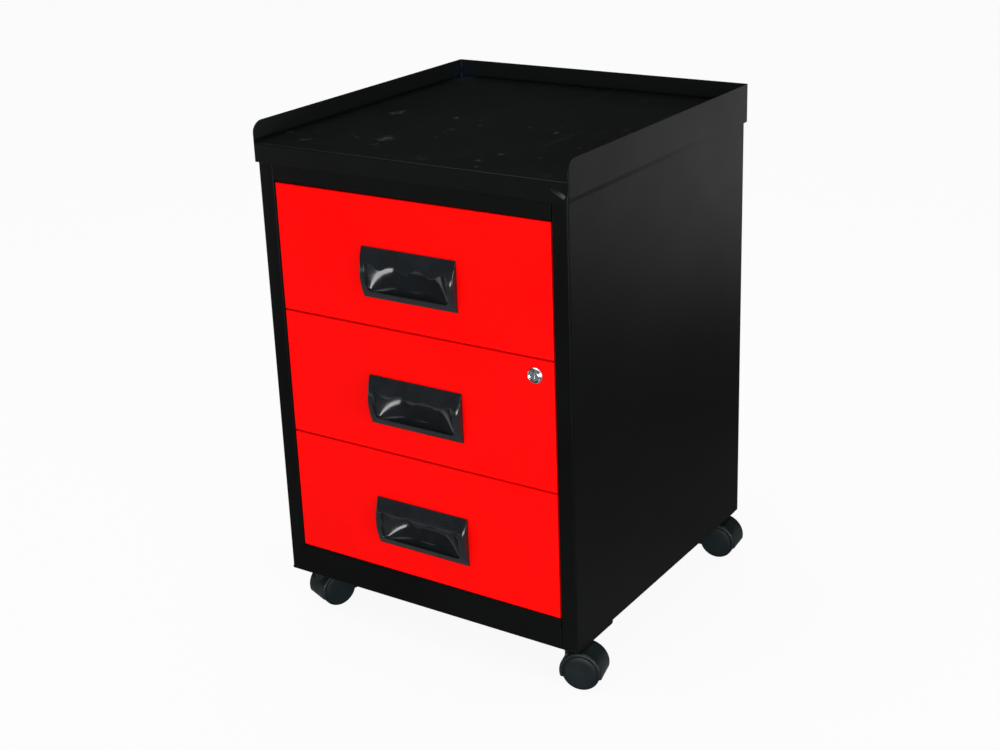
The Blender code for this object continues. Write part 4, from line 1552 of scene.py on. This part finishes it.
@dataclass
class CamLock:
    """The cam lock: a turned bezel and barrel, a plug with its keyhole, a nut, and the cam."""

    face_radius: float = 0.0093
    face_proud: float = 0.0030
    bore: float = 0.00575
    plug_radius: float = 0.0056
    barrel_radius: float = 0.0078
    barrel_back: float = 0.0215
    keyhole_width: float = 0.0014
    keyhole_height: float = 0.0070
    keyhole_depth: float = 0.0060
    nut_sides: int = 6
    nut_radius: float = 0.0115
    nut_front: float = 0.0022
    nut_back: float = 0.0062
    wall: float = 0.0015
    steps: int = 64
    bore_taper: float = 0.0001
    bore_edge: Pairs = ((0.0, -0.0010), (0.0004, -0.0008))
    chamfer: float = 0.0005
    shoulder: Pair = (-0.0004, 0.0001)
    bezel_foot: Pairs = ((-0.0003, 0.0001), (0.0, 0.0004), (0.0, 0.0009), (-0.0006, 0.0021))
    bezel_face: Pairs = ((-0.0014, -0.0002), (-0.0019, 0.0), (-0.0023, -0.0001))
    washer_reach: float = 0.0012
    broken: float = 0.0003
    screw: Pair = (0.0038, 0.0016)
    plug_sunk: float = 0.0003
    plug_squares: int = 16
    plug_edge: float = 0.0002
    keyhole_rows: int = 5
    rim_start: float = 0.86
    rim_drop: float = 0.0004

    def build(self) -> None:
        """Makes the lock in its drawer front."""
        low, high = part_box("lock_barrel")
        face = low.y + self.face_proud
        spot = ((low.x + high.x) / 2, face, (low.z + high.z) / 2)
        place = facing_front(spot)
        barrel = self.barrel().joined(self.nut())
        for name, form, node in (
            ("lock_bezel", barrel, "lock_barrel"),
            ("lock_key_plug", self.plug(), "lock_plug"),
        ):
            form.placed(place).finished(name, CHROME, body_of(node), (node,), MOULDED_DEGREES)
        node = "lock_cam"
        cam = Form(node).softened(self.broken)
        cam.finished("lock_tongue", ZINC, body_of(node), (node,))
        behind = facing_front((spot[0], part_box(node)[1].y, spot[2]))
        screw = pan_screw(*self.screw).placed(behind @ Matrix.Rotation(pi, 4, "X"))
        screw.finished("lock_tongue_screw", ZINC, body_of(node))

    def barrel(self) -> Form:
        """The bezel with its steep outer cone and its dished inner one, and the tube behind it.

        Returns:
            The bezel and its tube, about the vertical.
        """
        out, face, radius = self.face_proud, self.face_radius, self.barrel_radius
        first, last = [(self.bore + far, out + up) for far, up in self.bore_edge]
        profile = [first, (self.bore + self.bore_taper, -self.barrel_back)]
        profile += [(radius - self.chamfer, -self.barrel_back)]
        profile += [(radius, -self.barrel_back + self.chamfer)]
        profile += [(radius, up) for up in self.shoulder]
        profile += [(face + far, up) for far, up in self.bezel_foot]
        profile += [(face + far, out + up) for far, up in self.bezel_face]
        return Form().turned([*profile, last], self.steps)

    def nut(self) -> Form:
        """The six-sided nut and the washer behind the drawer front.

        Returns:
            The nut and washer.
        """
        plan = []
        for corner in range(self.nut_sides):
            turn = corner * tau / self.nut_sides
            plan.append((self.nut_radius * cos(turn), self.nut_radius * sin(turn)))
        nut = Form().pulled(plan, -self.nut_back, -self.nut_front).softened(self.broken)
        bore, radius = self.barrel_radius, self.nut_radius + self.washer_reach
        wall, front = -self.wall, -self.nut_front
        washer = [(bore, wall), (bore, front), (radius, front), (radius, wall)]
        return nut.joined(Form().turned(washer, self.steps))

    def plug(self) -> Form:
        """The plug: a disc face that falls away at its rim, its keyhole, and its tail.

        Returns:
            The plug.
        """
        out, radius = self.face_proud - self.plug_sunk, self.plug_radius
        half_width, half_height = self.keyhole_width / 2, self.keyhole_height / 2
        squares, half = self.plug_squares, self.plug_squares / 2
        made = Form()
        bmesh.ops.create_grid(made.mesh, x_segments=squares, y_segments=squares, size=1.0)
        for vert in made.mesh.verts:
            x, y = vert.co.x, vert.co.y
            wide, tall = (radius * part for part in on_disc(vert.co))
            if abs(round(x * half)) == 1 and abs(round(y * half)) <= self.keyhole_rows:
                wide = half_width if x > 0.0 else -half_width
                tall = half_height * y / (self.keyhole_rows / half)
            rim = max(0.0, hypot(wide, tall) / radius - self.rim_start) / (1.0 - self.rim_start)
            vert.co = (wide, tall, out - self.rim_drop * rim)
        slot = []
        for face in made.mesh.faces:
            spot = face.calc_center_median()
            if abs(spot.x) < half_width and abs(spot.y) < half_height:
                slot.append(face)
        for vert in made.thicken(list(made.mesh.faces)):
            vert.co.z = self.plug_edge - self.barrel_back
        for vert in made.thicken(slot):
            vert.co.z = out - self.keyhole_depth
        return made.face_outwards().softened(self.plug_edge)


@dataclass
class SlideSet:
    """The ball-bearing slides: rolled members with their screws, and the ball cages."""

    sides: tuple[tuple[str, float], ...] = (("left", -1.0), ("right", 1.0))
    cabinet_sheet: float = 0.0012
    drawer_sheet: float = 0.0010
    edge_radius: float = 0.00015
    edge_degrees: float = 60.0
    screw_places: tuple[float, ...] = (0.025, 0.150, 0.300)
    screw: Pair = (0.0030, 0.0011)

    def build(self) -> None:
        """Makes all six slides."""
        for drawer in DRAWERS:
            for side, way in self.sides:
                self.slide(f"slide_{drawer}_{side}", way)

    def slide(self, stem: str, way: float) -> None:
        """Makes one slide.

        Args:
            stem: The start of its node names.
            way: 1 on the right and -1 on the left.
        """
        cabinet, drawer, cage = (
            f"{stem}_{part}" for part in ("cabinet_member", "drawer_member", "ball_cage")
        )
        for node, finish in ((cabinet, SLIDE_ZINC), (drawer, SLIDE_ZINC), (cage, STEEL)):
            rolled = Form(node).softened(self.edge_radius, self.edge_degrees, 1)
            rolled.finished(f"{node}_rolled", finish, body_of(node), (node,))
        self.screws(cabinet, way, self.cabinet_sheet)
        self.screws(drawer, -way, self.drawer_sheet)

    def screws(self, node: str, wall: float, sheet: float) -> None:
        """Makes the screws in one member, with their heads away from the wall that it lies on.

        Args:
            node: The member's CAD node.
            wall: The side that its web is on, 1 for the right and -1 for the left.
            sheet: The web's thickness.
        """
        low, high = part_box(node)
        web = (high.x if wall > 0.0 else low.x) - wall * sheet
        heads = Form()
        for along in self.screw_places:
            spot = (web, low.y + along, (low.z + high.z) / 2)
            heads.joined(pan_screw(*self.screw).placed(facing_side(spot, -wall)))
        heads.finished(f"{node}_screws", ZINC, body_of(node))


@dataclass
class PlainParts:
    """The CAD nodes that keep their own mesh and get a finish."""

    ending: str = "_axle"
    finish: Finish = STEEL

    def build(self) -> None:
        """Dresses each of these nodes."""
        for name, node in frame["nodes"].items():
            if name.endswith(self.ending):
                node.data.materials.clear()
                node.data.materials.append(self.finish.material())


@dataclass(frozen=True)
class Lamp:
    """A soft lamp: where it hangs, what it faces, its width and height, and its power in watts."""

    name: str
    place: Triple
    target: Triple
    size: Pair
    power: float

    def hang(self) -> None:
        """Puts the lamp in the scene, out of the camera's sight."""
        lamp = bpy.data.lights.new(self.name, "AREA")
        lamp.shape = "RECTANGLE"
        lamp.size, lamp.size_y = self.size
        lamp.energy = self.power
        made = bpy.data.objects.new(self.name, lamp)
        made.visible_camera = False
        made.location = self.place
        away = Vector(self.place) - Vector(self.target)
        made.rotation_euler = away.to_track_quat("Z", "Y").to_euler()
        bpy.context.scene.collection.objects.link(made)


@dataclass
class Studio:
    """A pale floor and soft light, with dark flags that keep the black paint from going grey and
    carry a painted highlight patch.
    """

    floor_half: float = 20.0
    floor_colour: Colour = rgb(0.80, 0.80, 0.80)
    floor_gloss: float = 0.9
    floor_white: float = 0.93
    far_way: Triple = (0.56, 0.83, 0.0)
    far_tones: Pairs = (
        (-0.30, 0.20),
        (0.0, 0.22),
        (0.50, 0.15),
        (0.75, 0.09),
        (1.05, 0.07),
        (1.25, 0.16),
        (1.55, 0.56),
        (1.75, 0.98),
        (2.10, 1.15),
    )
    near_way: Triple = (0.56, -0.83, 0.0)
    near_span: Pair = (0.25, 0.9)
    near_share: float = 0.5
    left_span: Pair = (-1.05, -1.9)
    left_tone: float = 0.9
    side_way: Triple = (0.95, -0.31, 0.0)
    side_span: Pair = (0.88, 0.98)
    painted_highlight_tone: float = 0.4
    flag_radius: float = 5.0
    flag_low: float = 0.02
    flag_high: float = 5.5
    flag_steps: int = 48
    flag_tone: float = 0.02
    ambient: float = 0.55
    lamps: tuple[Lamp, ...] = (
        Lamp("key", (0.75, -2.1, 0.17), (0.0, -0.2, 0.30), (1.8, 0.28), 21.0),
        Lamp("side", (1.88, -0.88, 0.60), (0.0, -0.2, 0.30), (0.3, 1.3), 13.0),
        Lamp("top", (-0.3, -0.2, 2.4), (0.0, 0.0, 0.30), (1.8, 1.8), 20.0),
    )

    def build(self) -> None:
        """Makes the floor, the flags, the world and the lamps."""
        self.lay_floor()
        self.stand_flags()
        self.light_world()
        for lamp in self.lamps:
            lamp.hang()

    def lay_floor(self) -> None:
        """Makes a wide pale floor, which the camera sees as nearly white and reflections see as a
        painted glow.
        """
        shape = bmesh.new()
        bmesh.ops.create_grid(shape, x_segments=1, y_segments=1, size=self.floor_half)
        graph = Graph("studio_floor")
        graph.feed("Base Color", self.floor_colour)
        graph.feed("Roughness", self.floor_gloss)
        graph.feed("Specular IOR Level", 0.0)
        rays = graph.node("ShaderNodeLightPath").outputs
        # Reflections see the floor as a glow, not as lit floor: a painted reflection.
        tone = graph.node("ShaderNodeEmission", {"Strength": self.painted_mirror_glow(graph)}).outputs[0]
        glossy = {0: rays["Is Glossy Ray"], 1: graph.shader.outputs["BSDF"], 2: tone}
        mirrored = graph.node("ShaderNodeMixShader", glossy).outputs[0]
        share = graph.math("MULTIPLY", rays["Is Camera Ray"], self.floor_white)
        white = graph.node("ShaderNodeEmission", {"Color": rgb(1.0, 1.0, 1.0), "Strength": 1.0})
        seen = {0: share, 1: mirrored, 2: white.outputs[0]}
        graph.surface(graph.node("ShaderNodeMixShader", seen).outputs[0])
        shown("studio_floor_sheet", shape, graph.material)

    def painted_mirror_glow(self, graph: Graph) -> NodeSocket:
        """The painted reflection that the floor glows with for reflections only: painted shade near
        the cart, white far behind it.

        Args:
            graph: The floor's node tree.

        Returns:
            The brightness.
        """
        far, tone = graph.along(self.far_way), self.far_tones[0][1]
        for (start, low), (end, high) in zip(self.far_tones, self.far_tones[1:]):
            tone = graph.math("ADD", graph.fit(far, start, end, 0.0, high - low), tone)
        near = graph.fit(graph.along(self.near_way), *self.near_span, 1.0, self.near_share)
        left = graph.fit(graph.part("X"), *self.left_span, 0.0, self.left_tone)
        return graph.math("ADD", graph.math("MULTIPLY", tone, near), left)

    def stand_flags(self) -> None:
        """Makes the ring of dark flags, which only reflections see, with a glowing patch towards
        the front right: a painted highlight.
        """
        shape = bmesh.new()
        bmesh.ops.create_cone(
            shape,
            cap_ends=False,
            segments=self.flag_steps,
            radius1=self.flag_radius,
            radius2=self.flag_radius,
            depth=self.flag_high - self.flag_low,
            matrix=Matrix.Translation((0.0, 0.0, (self.flag_high + self.flag_low) / 2)),
        )
        graph = Graph("studio_flag")
        # Painted highlight: the flags glow brighter towards the front right, for the rims of the
        # handles and casters.
        side = graph.along(tuple(part / self.flag_radius for part in self.side_way))
        tone = graph.fit(side, *self.side_span, self.flag_tone, self.painted_highlight_tone)
        graph.surface(graph.node("ShaderNodeEmission", {"Strength": tone}).outputs[0])
        flags = shown("studio_flags", shape, graph.material)
        for rays in ("camera", "diffuse", "shadow", "transmission"):
            setattr(flags, f"visible_{rays}", False)

    def light_world(self) -> None:
        """Makes the world: white where it is seen or mirrored, softer as light."""
        world = bpy.data.worlds.new("studio")
        world.use_nodes = True
        bpy.context.scene.world = world
        tree = world.node_tree
        rays = add_node(tree, "ShaderNodeLightPath").outputs
        white = rays["Is Camera Ray"]
        for kind in ("Is Glossy Ray", "Is Transmission Ray"):
            either = {0: white, 1: rays[kind]}
            white = add_node(tree, "ShaderNodeMath", either, operation="MAXIMUM").outputs[0]
        span = {"Value": white, "To Min": self.ambient, "To Max": 1.0}
        strength = add_node(tree, "ShaderNodeMapRange", span).outputs[0]
        back = tree.nodes["Background"]
        back.inputs["Color"].default_value = rgb(1.0, 1.0, 1.0)
        tree.links.new(strength, back.inputs["Strength"])


@dataclass
class PhotoCamera:
    """The camera at the photograph's angle."""

    eye: Triple = (1.0000, -1.5088, 0.9786)
    azimuth: float = 34.02
    elevation: float = 19.87
    roll: float = -2.11
    lens: float = 58.475
    sensor: float = 36.0
    rise: float = -0.042

    def build(self) -> None:
        """Makes the camera and hands it to the scene."""
        camera = bpy.data.cameras.new("photo_camera")
        camera.sensor_width = self.sensor
        camera.lens = self.lens
        camera.shift_y = self.rise
        made = bpy.data.objects.new("photo_camera", camera)
        turn, tilt = radians(self.azimuth), radians(self.elevation)
        back = Vector((sin(turn) * cos(tilt), -cos(turn) * cos(tilt), sin(tilt)))
        look = (-back).to_track_quat("-Z", "Y").to_matrix().to_4x4()
        tip = Matrix.Rotation(radians(self.roll), 4, "Z")
        made.matrix_world = Matrix.Translation(self.eye) @ look @ tip
        bpy.context.scene.collection.objects.link(made)
        bpy.context.scene.camera = made


def main() -> None:
    """Builds the cart's looks, its studio and its camera, in order."""
    logging.basicConfig(level=logging.INFO, format="%(message)s")
    bpy.context.scene.view_settings.view_transform = "Standard"
    for assembly in (
        PhotoCamera(),
        SheetWork(),
        WeldBeads(),
        *(CupHandle(drawer) for drawer in DRAWERS),
        CamLock(),
        SlideSet(),
        *(Caster(corner) for corner in CORNERS),
        PlainParts(),
        Studio(),
    ):
        LOG.info("building %s", type(assembly).__name__)
        assembly.build()


if __name__ == "__main__":
    main()
